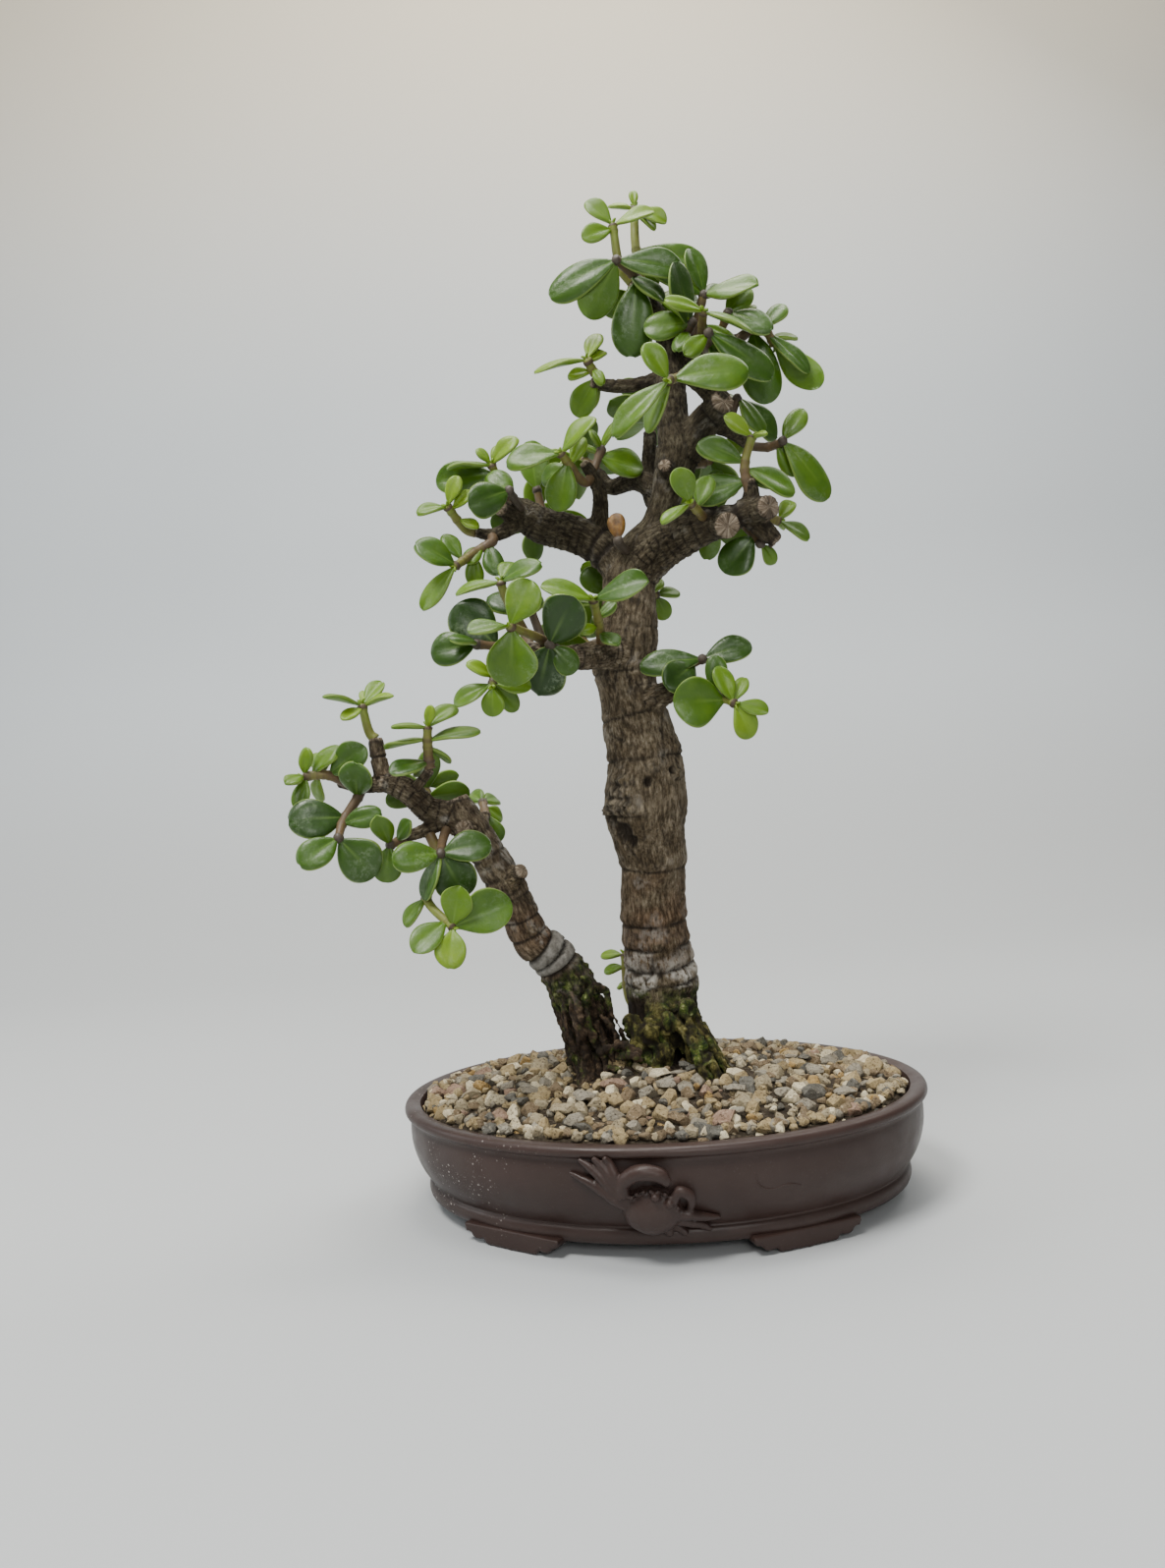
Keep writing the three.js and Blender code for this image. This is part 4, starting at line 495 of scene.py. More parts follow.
# Limbs
def spline_point(points, t):
    """A centripetal Catmull-Rom curve through the points, as three.js draws it."""
    last = len(points) - 1
    place = last * t
    index = min(int(math.floor(place)), last - 1)
    weight = place - index
    p1, p2 = points[index], points[index + 1]
    p0 = points[index - 1] if index > 0 else 2 * points[0] - points[1]
    p3 = points[index + 2] if index + 2 <= last else 2 * points[last] - points[last - 1]
    d0, d1, d2 = (max(np.sum((b - a) ** 2), 1e-12) ** 0.25 for a, b in ((p0, p1), (p1, p2), (p2, p3)))
    if d1 < 1e-4:
        d1 = 1.0
    d0 = d1 if d0 < 1e-4 else d0
    d2 = d1 if d2 < 1e-4 else d2
    t1 = ((p1 - p0) / d0 - (p2 - p0) / (d0 + d1) + (p2 - p1) / d1) * d1
    t2 = ((p2 - p1) / d1 - (p3 - p1) / (d1 + d2) + (p3 - p2) / d2) * d1
    c2 = -3 * p1 + 3 * p2 - 2 * t1 - t2
    c3 = 2 * p1 - 2 * p2 + t1 + t2
    return p1 + weight * (t1 + weight * (c2 + weight * c3))


def travelled_along(centres):
    """How far along a line each of its points lies."""
    return np.concatenate([[0], np.cumsum(np.linalg.norm(np.diff(centres, axis=0), axis=1))])


def spans(points):
    return [np.linalg.norm(b - a) for a, b in zip(points, points[1:])]


def limb_line(rows, step):
    """Centres, radii, directions and sideways directions along a limb, about a step apart."""
    places = [np.array(row[:3], float) for row in rows]
    marks = [np.array([i, row[3], 0.0]) for i, row in enumerate(rows)]
    stops = np.linspace(0, 1, max(3, int(math.ceil(sum(spans(places)) / step)) + 1))
    centres = np.array([spline_point(places, t) for t in stops])
    radii = np.array([spline_point(marks, t)[1] for t in stops])
    along = np.gradient(centres, axis=0)
    along /= np.linalg.norm(along, axis=1, keepdims=True)
    side, sides = np.array([1.0, 0.0, 0.0]), []
    for direction in along:
        side = unit(side - direction * side.dot(direction))
        sides.append(side)
    return centres, radii, along, np.array(sides)


def tube(centres, radii, along, side, sides):
    """Points and faces of rings round a line, with two flat ends."""
    cos, sin = around(sides)
    other = np.cross(along, side)
    points = centres[:, None] + radii[:, None, None] * (
        cos[None, :, None] * side[:, None] + sin[None, :, None] * other[:, None])
    faces = ring_faces(len(centres), sides)
    faces.append(list(range(sides))[::-1])
    faces.append([(len(centres) - 1) * sides + k for k in range(sides)])
    return points.reshape(-1, 3), faces


def limb_mesh(rows, sides, step):
    return *tube(*limb_line(rows, step), sides), {}


def ball_mesh(centre, radii, rings=16, sides=24):
    tilt = np.linspace(0, math.pi, rings + 1)[1:-1, None]
    cos, sin = around(sides)
    ring = np.stack(np.broadcast_arrays(np.sin(tilt) * cos, np.sin(tilt) * sin, -np.cos(tilt)), axis=2)
    points = np.concatenate([ring.reshape(-1, 3), -UP[None], UP[None]])
    return points * np.array(radii) + np.array(centre), closed_rings(rings - 1, sides), {}


# Leaves, laid out as in the solids
def blade_shape(t, fullness=1.6, foot=0.12):
    t = np.asarray(t, float)
    narrow = foot + (1 - foot) * np.sin(math.pi / 2 * np.clip(t / 0.6, 0, 1)) ** fullness
    round_end = np.sqrt(np.clip(1 - ((t - 0.6) / 0.4) ** 2, 0, 1))
    return np.where(t > 0.6, round_end, narrow)


class Leaf:
    def __init__(self, foot, along, face, length, age, ratio=None):
        self.foot, self.along, self.length, self.age = foot, along, length, age
        self.across = unit(np.cross(face, along))
        self.face = np.cross(along, self.across)
        self.ratio = mix(BLADE["narrow"], BLADE["round"], age) if ratio is None else ratio
        self.thick = BLADE["thick"] * mix(0.75, 1, age)
        self.cup = mix(0.22, 0.08, age)
        self.droop = mix(0.16, 0.08, age)

    def point(self, t, s, lift=0.0):
        t, s = np.asarray(t, float), np.asarray(s, float)
        width = self.length * self.ratio * 0.5 * blade_shape(t) * s
        rise = self.cup * np.abs(width) - self.droop * self.length * t * t + lift
        return (self.foot + (self.length * t)[..., None] * self.along
                + width[..., None] * self.across + rise[..., None] * self.face)

    def bent(self, swing, lift, size):
        along = turned(self.along, self.face, math.radians(swing))
        along = unit(turned(along, self.across, -math.radians(lift)))
        face = unit(self.face - along * self.face.dot(along))
        return Leaf(self.foot, along, face, self.length * size, self.age, self.ratio)


# Where a leaf is felt for what it might touch: along it and across it
FEEL_T, FEEL_S = (grid.ravel() for grid in np.meshgrid(
    [0.2, 0.4, 0.6, 0.8, 1], [-0.9, -0.45, 0, 0.45, 0.9], indexing="ij"))


def heading(bearing, rise):
    flat = math.cos(math.radians(rise))
    bearing = math.radians(bearing)
    return np.array([flat * math.cos(bearing), flat * math.sin(bearing), math.sin(math.radians(rise))])


def face_for(along, turn):
    wish = unit(UP * (1 - abs(turn)) + AWAY * -turn)
    if abs(wish.dot(along)) > 0.97:
        wish = np.array([0.3, 1.0 if turn < 0 else -1.0, 0.5])
    return unit(wish - along * wish.dot(along))


def along_stem(stem, t):
    lengths = spans(stem)
    left = t * sum(lengths)
    for index, length in enumerate(lengths):
        if left <= length + 1e-9:
            return mix(stem[index], stem[index + 1], left / length)
        left -= length
    return stem[-1].copy()


def planned(name, stem, ages, wishes):
    """A shoot as wished: its leaves' place on the stem, direction, face, length and own width share."""
    leaves = [Leaf(along_stem(stem, t) + along * 0.8, along, face, length, mix(*ages, t), *ratio)
              for t, along, face, length, *ratio in wishes]
    return {"name": name, "stem": stem, "ages": ages, "wishes": leaves,
            "leaf_stops": [wish[0] for wish in wishes]}


def seen_shoot(row):
    name, stem, *ages, leaves = row
    wishes = []
    for t, bearing, rise, length, turn, *ratio in leaves:
        along = heading(bearing, rise)
        wishes.append((t, along, face_for(along, turn), length, *ratio))
    return planned(name, [np.array(point, float) for point in stem], ages, wishes)


def back_shoot(row, index):
    name, foot, tip, *ages, pairs, long_foot, long_tip, bearing = row
    draw = random_from(BACK_SEED + index * 77)
    stem = [np.array(foot, float), np.array(tip, float)]
    axis = unit(stem[1] - stem[0])
    first = heading(bearing, 0)
    first = unit(first - axis * first.dot(axis))
    wishes = []
    for pair in range(pairs):
        share = pair / (pairs - 1)
        for half in range(2):
            turn = math.radians(90 * pair + 180 * half + (draw() - 0.5) * 24)
            spread = math.radians(mix(86, 62, share) + (draw() - 0.5) * 16)
            length = mix(long_foot, long_tip, share) * (0.92 + 0.16 * draw())
            out = turned(first, axis, turn)
            along = axis * math.cos(spread) + out * math.sin(spread)
            face = axis * math.sin(spread) - out * math.cos(spread)
            wishes.append((mix(0.4, 1, share), along, face, length))
    return planned(name, stem, ages, wishes)


# A leaf that isn't clear is swung and lifted by these degrees in turn, and then made shorter
TURNS = [
    (0, 0), (12, 0), (-12, 0), (0, 12), (0, -12), (14, 14), (-14, 14), (14, -14), (-14, -14),
    (26, 0), (-26, 0), (0, 26), (0, -26), (30, 20), (-30, 20), (30, -20), (-30, -20),
    (42, 0), (-42, 0), (0, 42), (0, -42),
]
BENDS = [(swing, lift, size) for size in (1, 0.85) for swing, lift in TURNS]


def balls_of(limbs):
    places, radii = [], []
    for rows in limbs:
        for a, b in zip(rows, rows[1:]):
            a, b = np.array(a, float), np.array(b, float)
            parts = math.ceil(np.linalg.norm(b[:3] - a[:3]) / 2.5)
            for k in range(parts + 1):
                both = mix(a, b, k / parts)
                places.append(both[:3])
                radii.append(both[3])
    return np.array(places), np.array(radii)


def is_clear(leaf, shoot_name, taken, wood):
    points = leaf.point(FEEL_T, FEEL_S)
    middle = leaf.point(0.5, 0.0)
    reach = leaf.length * 0.6
    places, radii = wood
    close = radii + CLEAR["wood"]
    near = np.linalg.norm(places - middle, axis=1) < reach + close
    outer = points[FEEL_T > 0.3]
    gaps = np.linalg.norm(outer[:, None] - places[near][None], axis=2)
    if np.any(gaps < close[near][None]):
        return False
    for other in taken:
        if np.linalg.norm(other["middle"] - middle) > reach + other["reach"] + CLEAR["leaf"]:
            continue
        own = other["shoot"] == shoot_name
        mine = points[FEEL_T > 0.5] if own else points
        theirs = other["points"][other["t"] > 0.5] if own else other["points"]
        if len(mine) and len(theirs):
            gaps = np.linalg.norm(mine[:, None] - theirs[None], axis=2)
            if np.any(gaps < (1.5 if own else other["gap"])):
                return False
    return True


def stem_feelers(shoot):
    stem = shoot["stem"]
    length = sum(spans(stem))
    parts = math.ceil(length / 1.8)
    points = np.array([along_stem(stem, k / parts) for k in range(parts + 1)])
    return {"shoot": shoot["name"], "points": points, "t": np.zeros(parts + 1),
            "middle": along_stem(stem, 0.5), "reach": length * 0.6, "gap": CLEAR["stem"]}


def settle(shoots, wood):
    """Every leaf in turn is kept as wished, or bent until it is clear, or left off."""
    taken = [stem_feelers(shoot) for shoot in shoots]
    for shoot in shoots:
        shoot["leaves"] = []
        for wish in shoot["wishes"]:
            tries = (wish.bent(*bend) for bend in BENDS)
            leaf = next((leaf for leaf in tries if is_clear(leaf, shoot["name"], taken, wood)), None)
            if leaf is not None:
                shoot["leaves"].append(leaf)
                taken.append({"shoot": shoot["name"], "points": leaf.point(FEEL_T, FEEL_S),
                              "t": FEEL_T, "middle": leaf.point(0.5, 0.0),
                              "reach": leaf.length * 0.6, "gap": CLEAR["leaf"]})
    return shoots


# Fine leaf: rings along the blade, each a rounded lens with a furrow over the midrib
LEAF_RINGS, LEAF_SIDES, STEM_SIDES = 20, 24, 12
FURROW = 0.22
# The seed from which each shoot's leaves draw their small differences
LOOK_SEED = 7000


def thickness(t):
    swell = 0.5 + 0.5 * np.sin(math.pi / 2 * np.clip(t / 0.35, 0, 1))
    round_end = np.clip(1 - ((t - 0.6) / 0.4) ** 2, 0, 1) ** 0.4
    return np.where(t > 0.6, round_end, swell)


def looks(count, age, tone=0.5, along=1.0, across=0.0, upper=0.0):
    """The numbers at each point that the leaves' and stems' materials read."""
    values = {"age": age, "tone": tone, "along": along, "across": across, "upper": upper}
    return {key: np.broadcast_to(value, count) for key, value in values.items()}


def leaf_mesh(leaf, draw):
    cos, sin = around(LEAF_SIDES)
    stops = 1 - (1 - np.linspace(0, 1, LEAF_RINGS)[:-1]) ** 1.6
    t, s = np.meshgrid(stops, cos, indexing="ij")
    h = np.broadcast_to(sin, t.shape)
    twist, wave, phase = (draw() - 0.5) * 0.6, 0.03 + 0.05 * draw(), draw() * 6.3
    half_width = leaf.length * leaf.ratio * 0.5
    uneven = 1 + 0.05 * np.sin(5 * t + phase) * np.sign(s)
    width = half_width * blade_shape(t, mix(1.2, 0.72, leaf.age), 0.14) * s * uneven
    crease = 0.12 * half_width
    fold = (leaf.cup + 0.05) * (np.sqrt(width ** 2 + crease ** 2) - crease)
    fold -= 0.20 * leaf.age * np.abs(width) * s ** 2
    half = leaf.thick / 2 * thickness(t)
    body = half * np.sign(h) * np.abs(h) ** 0.65 * np.where(h > 0, 0.85, 1.05)
    body += 0.16 * half * np.sin(math.pi * np.abs(s)) * (h > 0) * mix(0.4, 1, leaf.age)
    furrow = bell(s, 0.24) * (h > 0) * rising(t, 0.02, 0.2)
    furrow *= -FURROW * mix(0.7, 1, leaf.age) * rising(t, 1.0, 0.45)
    ripple = wave * leaf.length * np.sin(4.5 * t + phase) * s ** 2 * t
    sag = (leaf.droop + 0.05 * leaf.age) * leaf.length * t ** 2
    rise = fold + body + furrow + ripple - sag + twist * width * t
    blade = (leaf.foot + (leaf.length * t)[..., None] * leaf.along
             + width[..., None] * leaf.across + rise[..., None] * leaf.face)
    root = leaf.foot - leaf.along * BLADE["sink"] + 0.55 * (
        cos[:, None] * leaf.across + sin[:, None] * leaf.face)
    tip = leaf.point(1.0, 0.0)[None] - leaf.along * 0.02
    points = np.concatenate([root, blade.reshape(-1, 3), tip])
    faces = [list(range(LEAF_SIDES))]
    faces += [face[::-1] for face in ring_faces(len(stops) + 1, LEAF_SIDES)]
    end = len(points) - 1
    last = end - LEAF_SIDES
    faces += [[last + k, end, last + (k + 1) % LEAF_SIDES] for k in range(LEAF_SIDES)]
    looks_old = 0.60 * leaf.age + 0.40 * np.clip((leaf.length - 7) / 9, 0, 1)
    looks_old *= mix(1.0, 0.74, rising(leaf.foot[2], 160, 220))
    return points, faces, looks(
        len(points), looks_old, draw(), np.concatenate([np.zeros(LEAF_SIDES), t.ravel(), [1.0]]),
        np.concatenate([cos, s.ravel(), [0.0]]), np.concatenate([sin, h.ravel(), [0.0]]))


def stem_mesh(shoot, wood):
    places, radii = wood
    gaps = np.linalg.norm(places - shoot["stem"][0], axis=1) - radii
    stem = [places[np.argmin(gaps)], *shoot["stem"]]
    stem[-1] = stem[-1] + unit(stem[-1] - stem[-2]) * (STEM["bud"] - 0.3)
    last = len(stem) - 1
    rows = [[*point, mix(STEM["old"], STEM["young"], i / last)] for i, point in enumerate(stem)]
    centres, radius, along, side = limb_line(rows, 0.55)
    gone = travelled_along(centres)
    swell = np.ones(len(centres))
    for stop in shoot["leaf_stops"]:
        node = along_stem(shoot["stem"], stop)
        swell += 0.16 * bell(gone - gone[np.argmin(np.linalg.norm(centres - node, axis=1))], 0.55)
    swell = np.minimum(swell, 1.3)
    dome = np.sqrt(np.clip(1 - np.clip(1 - (gone[-1] - gone) / 0.9, 0, 1) ** 2, 0.02, 1))
    points, faces = tube(centres, radius * swell * dome, along, side, STEM_SIDES)
    share = np.repeat(gone / gone[-1], STEM_SIDES)
    return points, faces, looks(
        len(points), mix(*shoot["ages"], share), along=share, across=np.repeat(swell - 1, STEM_SIDES))


def dry_tip(shoot):
    """The dried end of a shoot that was pinched back."""
    points, faces, _ = ball_mesh(shoot["stem"][-1], (1.5, 1.5, 1.5), 12, 16)
    points = points + 0.25 * noise_vectors(points / 0.9, 14)
    return points, faces, looks(len(points), 1.1)


def bud_leaves(shoot, draw):
    """The youngest pair, still folded over the tip."""
    stem = shoot["stem"]
    axis = unit(stem[-1] - stem[-2])
    out = unit(np.cross(axis, [0.3, 0.9, 0.2]))
    buds = []
    for sign in (1, -1):
        along = unit(axis + sign * out * (0.35 + 0.3 * draw()))
        face = unit(axis - sign * out * 2)
        bud = Leaf(stem[-1] + axis * 0.3, along, face - along * face.dot(along), 1.9, 0.0, 0.55)
        bud.thick = 0.8
        buds.append(bud)
    return buds


# Materials
class Finish:
    """A node material whose base colour is laid on in coats, with short names for its nodes."""

    def __init__(self, name, **sockets):
        self.material = bpy.data.materials.new(name)
        self.material.use_nodes = True
        self.tree = self.material.node_tree
        self.shader = self.tree.nodes["Principled BSDF"]
        for key, value in sockets.items():
            self.shader.inputs[key.replace("_", " ")].default_value = value
        self.place = self.node("TexCoord").outputs["Object"]

    def node(self, kind, inputs=(), **settings):
        """A new node. Its sockets get numbers, colours or other nodes' outputs."""
        node = self.tree.nodes.new("ShaderNode" + kind)
        for key, value in settings.items():
            setattr(node, key, value)
        for key, value in dict(inputs).items():
            socket = node.inputs[key]
            if isinstance(value, bpy.types.NodeSocket):
                self.tree.links.new(value, socket)
            else:
                socket.default_value = (*value, 1.0) if socket.type == "RGBA" else value
        return node

    def attribute(self, name, output="Fac"):
        return self.node("Attribute", attribute_name=name).outputs[output]

    def axis(self, name):
        return self.node("SeparateXYZ", {"Vector": self.place}).outputs[name]

    def stretched(self, vector, factor):
        return self.node("Mapping", {"Vector": vector, "Scale": (1, 1, factor)}).outputs["Vector"]

    def noise(self, scale, detail=3.0, rough=0.55, vector=None):
        return self.node("TexNoise", {
            "Vector": self.place if vector is None else vector,
            "Scale": scale, "Detail": detail, "Roughness": rough,
        }).outputs["Fac"]

    def cells(self, scale):
        return self.node("TexVoronoi", {"Vector": self.place, "Scale": scale}).outputs["Distance"]

    def ramp(self, value, stops, steps="LINEAR"):
        """Colours along a value; each stop is its position, red, green and blue."""
        node = self.node("ValToRGB", {"Fac": value})
        node.color_ramp.interpolation = steps
        elements = node.color_ramp.elements
        while len(elements) < len(stops):
            elements.new(0.5)
        for element, (position, *colour) in zip(elements, stops):
            element.position = position
            element.color = (*colour, 1.0)
        return node.outputs["Color"]

    def share(self, value, low, high, out_low=0.0, out_high=1.0):
        return self.node("MapRange", {
            "Value": value, "From Min": low, "From Max": high, "To Min": out_low, "To Max": out_high,
        }, interpolation_type="SMOOTHSTEP").outputs["Result"]

    def maths(self, kind, first, second=0.5):
        return self.node("Math", {0: first, 1: second}, operation=kind).outputs[0]

    def times(self, first, second):
        return self.maths("MULTIPLY", first, second)

    def about(self, base, value, reach):
        """The base, raised and lowered by a value that swings round a half."""
        return self.maths("ADD", base, self.times(self.maths("SUBTRACT", value, 0.5), reach))

    def blend(self, share, below, above, kind="MIX"):
        sockets = {0: share, 6: below, 7: above}
        return self.node("Mix", sockets, data_type="RGBA", blend_type=kind).outputs[2]

    def colour(self, value):
        self.body = value
        self.tree.links.new(value, self.shader.inputs["Base Color"])

    def coat(self, share, colour, strength=None, kind="MIX"):
        """A colour over what is there, where an output or the attribute of that name says so."""
        if isinstance(share, str):
            share = self.attribute(share)
        if strength is not None:
            share = self.times(share, strength)
        self.colour(self.blend(share, self.body, colour, kind))

    def roughness(self, noise, low, high, more=None):
        value = self.share(noise, 0.3, 0.7, low, high)
        if more is not None:
            value = self.maths("ADD", more, value)
        self.tree.links.new(value, self.shader.inputs["Roughness"])

    def relief(self, height, strength, distance):
        bump = self.node("Bump", {"Height": height, "Strength": strength, "Distance": distance})
        self.tree.links.new(bump.outputs["Normal"], self.shader.inputs["Normal"])


def leaf_finish():
    f = Finish("jade_leaf", Subsurface_Weight=0.10, Subsurface_Scale=0.0012,
               Subsurface_Radius=(0.5, 1.0, 0.2), Specular_IOR_Level=0.38, Coat_Weight=0.06,
               Coat_Roughness=0.2)
    age, across = f.attribute("age"), f.maths("ABSOLUTE", f.attribute("across"))
    shade = f.about(f.about(age, f.attribute("tone"), 0.35), f.noise(200), 0.35)
    f.colour(f.ramp(shade, [
        (0.0, 0.172, 0.285, 0.009), (0.22, 0.100, 0.195, 0.005), (0.5, 0.043, 0.108, 0.004),
        (0.8, 0.020, 0.058, 0.003), (1.0, 0.013, 0.040, 0.003),
    ]))
    f.coat(f.share(f.attribute("upper"), -0.05, -0.5), (0.13, 0.25, 0.022), 0.35)
    midrib = f.times(f.share(across, 0.14, 0.0), f.share(f.attribute("along"), 0.85, 0.1))
    f.coat(midrib, (0.23, 0.38, 0.07), 0.28)
    f.coat(f.share(across, 0.90, 0.99), (0.24, 0.34, 0.07), 0.7)
    dust = f.times(f.share(f.noise(120), 0.46, 0.64), f.share(f.noise(800, 5, 0.75), 0.44, 0.62))
    f.coat(f.times(dust, f.times(age, 0.32)), (0.34, 0.42, 0.27))
    gloss = f.times(f.maths("SUBTRACT", 1.0, age), 0.10)
    f.roughness(f.noise(220, 5, 0.65), 0.27, 0.42, gloss)
    f.relief(f.noise(380, 5, 0.65), 0.26, 0.0008)
    return f.material


def stem_finish():
    f = Finish("young_stem", Specular_IOR_Level=0.4)
    f.colour(f.ramp(f.about(f.attribute("age"), f.noise(300), 0.6), [
        (0.0, 0.19, 0.25, 0.040), (0.35, 0.17, 0.16, 0.035), (0.6, 0.120, 0.075, 0.035),
        (1.0, 0.065, 0.050, 0.036),
    ]))
    f.coat(f.share(f.attribute("across"), 0.08, 0.26), (0.075, 0.050, 0.028))
    f.roughness(f.noise(260), 0.40, 0.65)
    f.relief(f.noise(900, 4, 0.6, f.stretched(f.place, 0.4)), 0.35, 0.0006)
    return f.material


def withered_finish():
    f = Finish("withered_leaf", Subsurface_Weight=0.15, Subsurface_Scale=0.0015)
    f.colour(f.ramp(f.noise(420, 4, 0.6), [
        (0.30, 0.05, 0.023, 0.004), (0.52, 0.15, 0.070, 0.008), (0.75, 0.29, 0.15, 0.018),
    ]))
    f.roughness(f.noise(200), 0.4, 0.6)
    f.relief(f.noise(700, 4), 0.4, 0.0008)
    return f.material


def bark_finish(name, tint):
    f = Finish(name, Specular_IOR_Level=0.25)
    bark = f.attribute("bark", "Vector")
    fibres = f.noise(1.2, 7, 0.72, f.stretched(bark, 0.32))
    f.colour(f.ramp(fibres, [
        (0.32, 0.030, 0.022, 0.013), (0.44, 0.102, 0.078, 0.048), (0.56, 0.220, 0.176, 0.116),
        (0.70, 0.410, 0.348, 0.254),
    ]))
    f.coat(f.share(f.noise(0.20, 5, 0.65, bark), 0.40, 0.62), tint, kind="MULTIPLY")
    # Painted shade where the shade attribute says, with some of the younger bark's own darker colour
    f.coat("shade", (0.46, 0.48, 0.44), kind="MULTIPLY")
    f.coat("red", (0.80, 0.52, 0.40), 0.6, "MULTIPLY")
    f.coat("bump", f.ramp(fibres, [
        (0.38, 0.050, 0.036, 0.018), (0.50, 0.230, 0.175, 0.095), (0.62, 0.500, 0.410, 0.255),
    ]), 0.45)
    flakes = f.share(f.noise(0.8, 5, 0.6, f.stretched(bark, 0.6)), 0.36, 0.54)
    f.coat(f.times(f.attribute("pale"), flakes), (0.56, 0.53, 0.47))
    f.coat("grey", f.ramp(f.noise(500, 5, 0.65), [(0.35, 0.13, 0.12, 0.10), (0.65, 0.31, 0.295, 0.265)]))
    f.coat("cut", f.ramp(f.noise(1.5, 5, 0.7, f.stretched(bark, 0.1)), [
        (0.33, 0.030, 0.020, 0.014), (0.47, 0.20, 0.150, 0.100), (0.68, 0.50, 0.42, 0.32),
    ]))
    f.coat("root", f.ramp(f.noise(330, 7, 0.74), [
        (0.38, 0.009, 0.008, 0.003), (0.49, 0.046, 0.042, 0.010), (0.58, 0.140, 0.124, 0.034),
        (0.70, 0.380, 0.345, 0.165),
    ]))
    # Near black: real rot in patches on the left trunk, and painted shade in the hollows between the main
    # trunk's roots
    f.coat("rot", f.ramp(fibres, [
        (0.40, 0.007, 0.005, 0.003), (0.54, 0.045, 0.026, 0.014), (0.66, 0.130, 0.088, 0.050),
        (0.78, 0.30, 0.24, 0.16),
    ]), 0.92)
    tufts = f.share(f.noise(200, 6, 0.75), 0.42, 0.51)
    f.coat(f.times(f.attribute("moss"), tufts), f.ramp(f.noise(420, 6, 0.7), [
        (0.38, 0.006, 0.010, 0.003), (0.49, 0.032, 0.055, 0.008), (0.57, 0.105, 0.140, 0.022),
        (0.66, 0.340, 0.370, 0.170),
    ]))
    f.coat("crack", (0.018, 0.013, 0.009), 0.9)
    f.roughness(fibres, 0.95, 0.72)
    f.relief(f.maths("ADD", f.times(fibres, 1.2), f.noise(1100, 5, 0.7)), 0.8, 0.0010)
    return f.material


def gravel_finish():
    f = Finish("gravel", Specular_IOR_Level=0.25)
    cloud, speck = f.noise(420, 4, 0.6), f.noise(1500, 5, 0.7)
    f.colour(f.ramp(f.attribute("kind"), [
        (0.0, 0.430, 0.335, 0.180), (0.26, 0.235, 0.175, 0.105), (0.42, 0.420, 0.355, 0.230),
        (0.60, 0.330, 0.300, 0.235), (0.72, 0.150, 0.145, 0.125), (0.79, 0.780, 0.690, 0.480),
        (0.92, 0.470, 0.315, 0.125), (0.975, 0.370, 0.250, 0.180),
    ], "CONSTANT"))
    f.coat(f.share(cloud, 0.60, 0.32, 0.0, 0.5), (0.50, 0.44, 0.36), kind="MULTIPLY")
    f.coat(f.share(speck, 0.46, 0.36, 0.0, 0.9), (0.040, 0.030, 0.020))
    f.coat(f.share(speck, 0.56, 0.70, 0.0, 0.55), (0.66, 0.58, 0.42))
    # Painted shade: each grain darker on its lower part
    f.coat("under", (0.035, 0.026, 0.017), 0.85)
    f.roughness(speck, 0.95, 0.75)
    f.relief(f.maths("ADD", speck, cloud), 0.8, 0.0010)
    return f.material


def bed_finish():
    f = Finish("soil_bed", Specular_IOR_Level=0.2)
    grit = f.noise(900, 6, 0.75)
    # The soil's own dark colour, made darker still as painted shade in the gaps between the grains
    f.colour(f.ramp(grit, [
        (0.3, 0.014, 0.010, 0.007), (0.5, 0.045, 0.034, 0.022), (0.72, 0.150, 0.120, 0.085),
    ]))
    f.roughness(grit, 0.95, 0.8)
    f.relief(grit, 0.8, 0.0015)
    return f.material


def clay_finish():
    f = Finish("dark_clay", Specular_IOR_Level=0.35)
    grain = f.noise(1600, 4, 0.7)
    f.colour(f.ramp(f.noise(28, 5, 0.6), [
        (0.3, 0.029, 0.016, 0.013), (0.55, 0.039, 0.022, 0.018), (0.75, 0.050, 0.030, 0.025),
    ]))
    f.coat(f.share(grain, 0.62, 0.75, 0.0, 0.35), (0.11, 0.080, 0.070))
    fine = f.share(f.noise(2600, 3, 0.7, f.stretched(f.place, 0.6)), 0.63, 0.70)
    specks = f.maths("MAXIMUM", f.share(f.cells(650), 0.20, 0.10), fine)
    specks = f.times(specks, f.share(f.noise(90, 4), 0.48, 0.62))
    specks = f.times(specks, f.share(f.axis("X"), -0.012, -0.045, 0.03, 1.0))
    f.coat(specks, (0.55, 0.50, 0.46), 0.75)
    f.roughness(f.noise(90, 4), 0.34, 0.52)
    f.relief(grain, 0.12, 0.0005)
    return f.material


def screen_finish():
    f = Finish("screen_plastic")
    f.colour(f.ramp(f.noise(500), [(0.3, 0.016, 0.018, 0.019), (0.7, 0.035, 0.038, 0.040)]))
    f.roughness(f.noise(300), 0.45, 0.65)
    return f.material


# Trunks: tubes fused into one skin, then cracked, ringed and knotted
VOXEL, FINE_VOXEL = 0.62, 0.46
TUBE_SIDES, TUBE_STEP = 26, 1.2
# The skin is measured against points this far apart on the limbs, so many points at a time, and
# the bark's pattern starts anew this far on for the next limb
LINE_STEP, CHUNK, LIMB_GAP = 0.7, 3000, 37.0
# A limb thinner than this radius ends in a cut face
CUT_RADIUS = 4.2
# Rings round the trunk where leaves once stood: height and depth
RING_SCARS = [
    (150.6, 0.8), (138.0, 0.8), (124.9, 0.7), (92.8, 0.8), (76.4, 1.0), (69.5, 0.9), (63.3, 1.0),
    (58.7, 0.9), (163.5, 0.4), (176, 0.7), (197, 0.4), (207, 0.6), (220, 0.5), (231, 0.5), (244, 0.4),
]
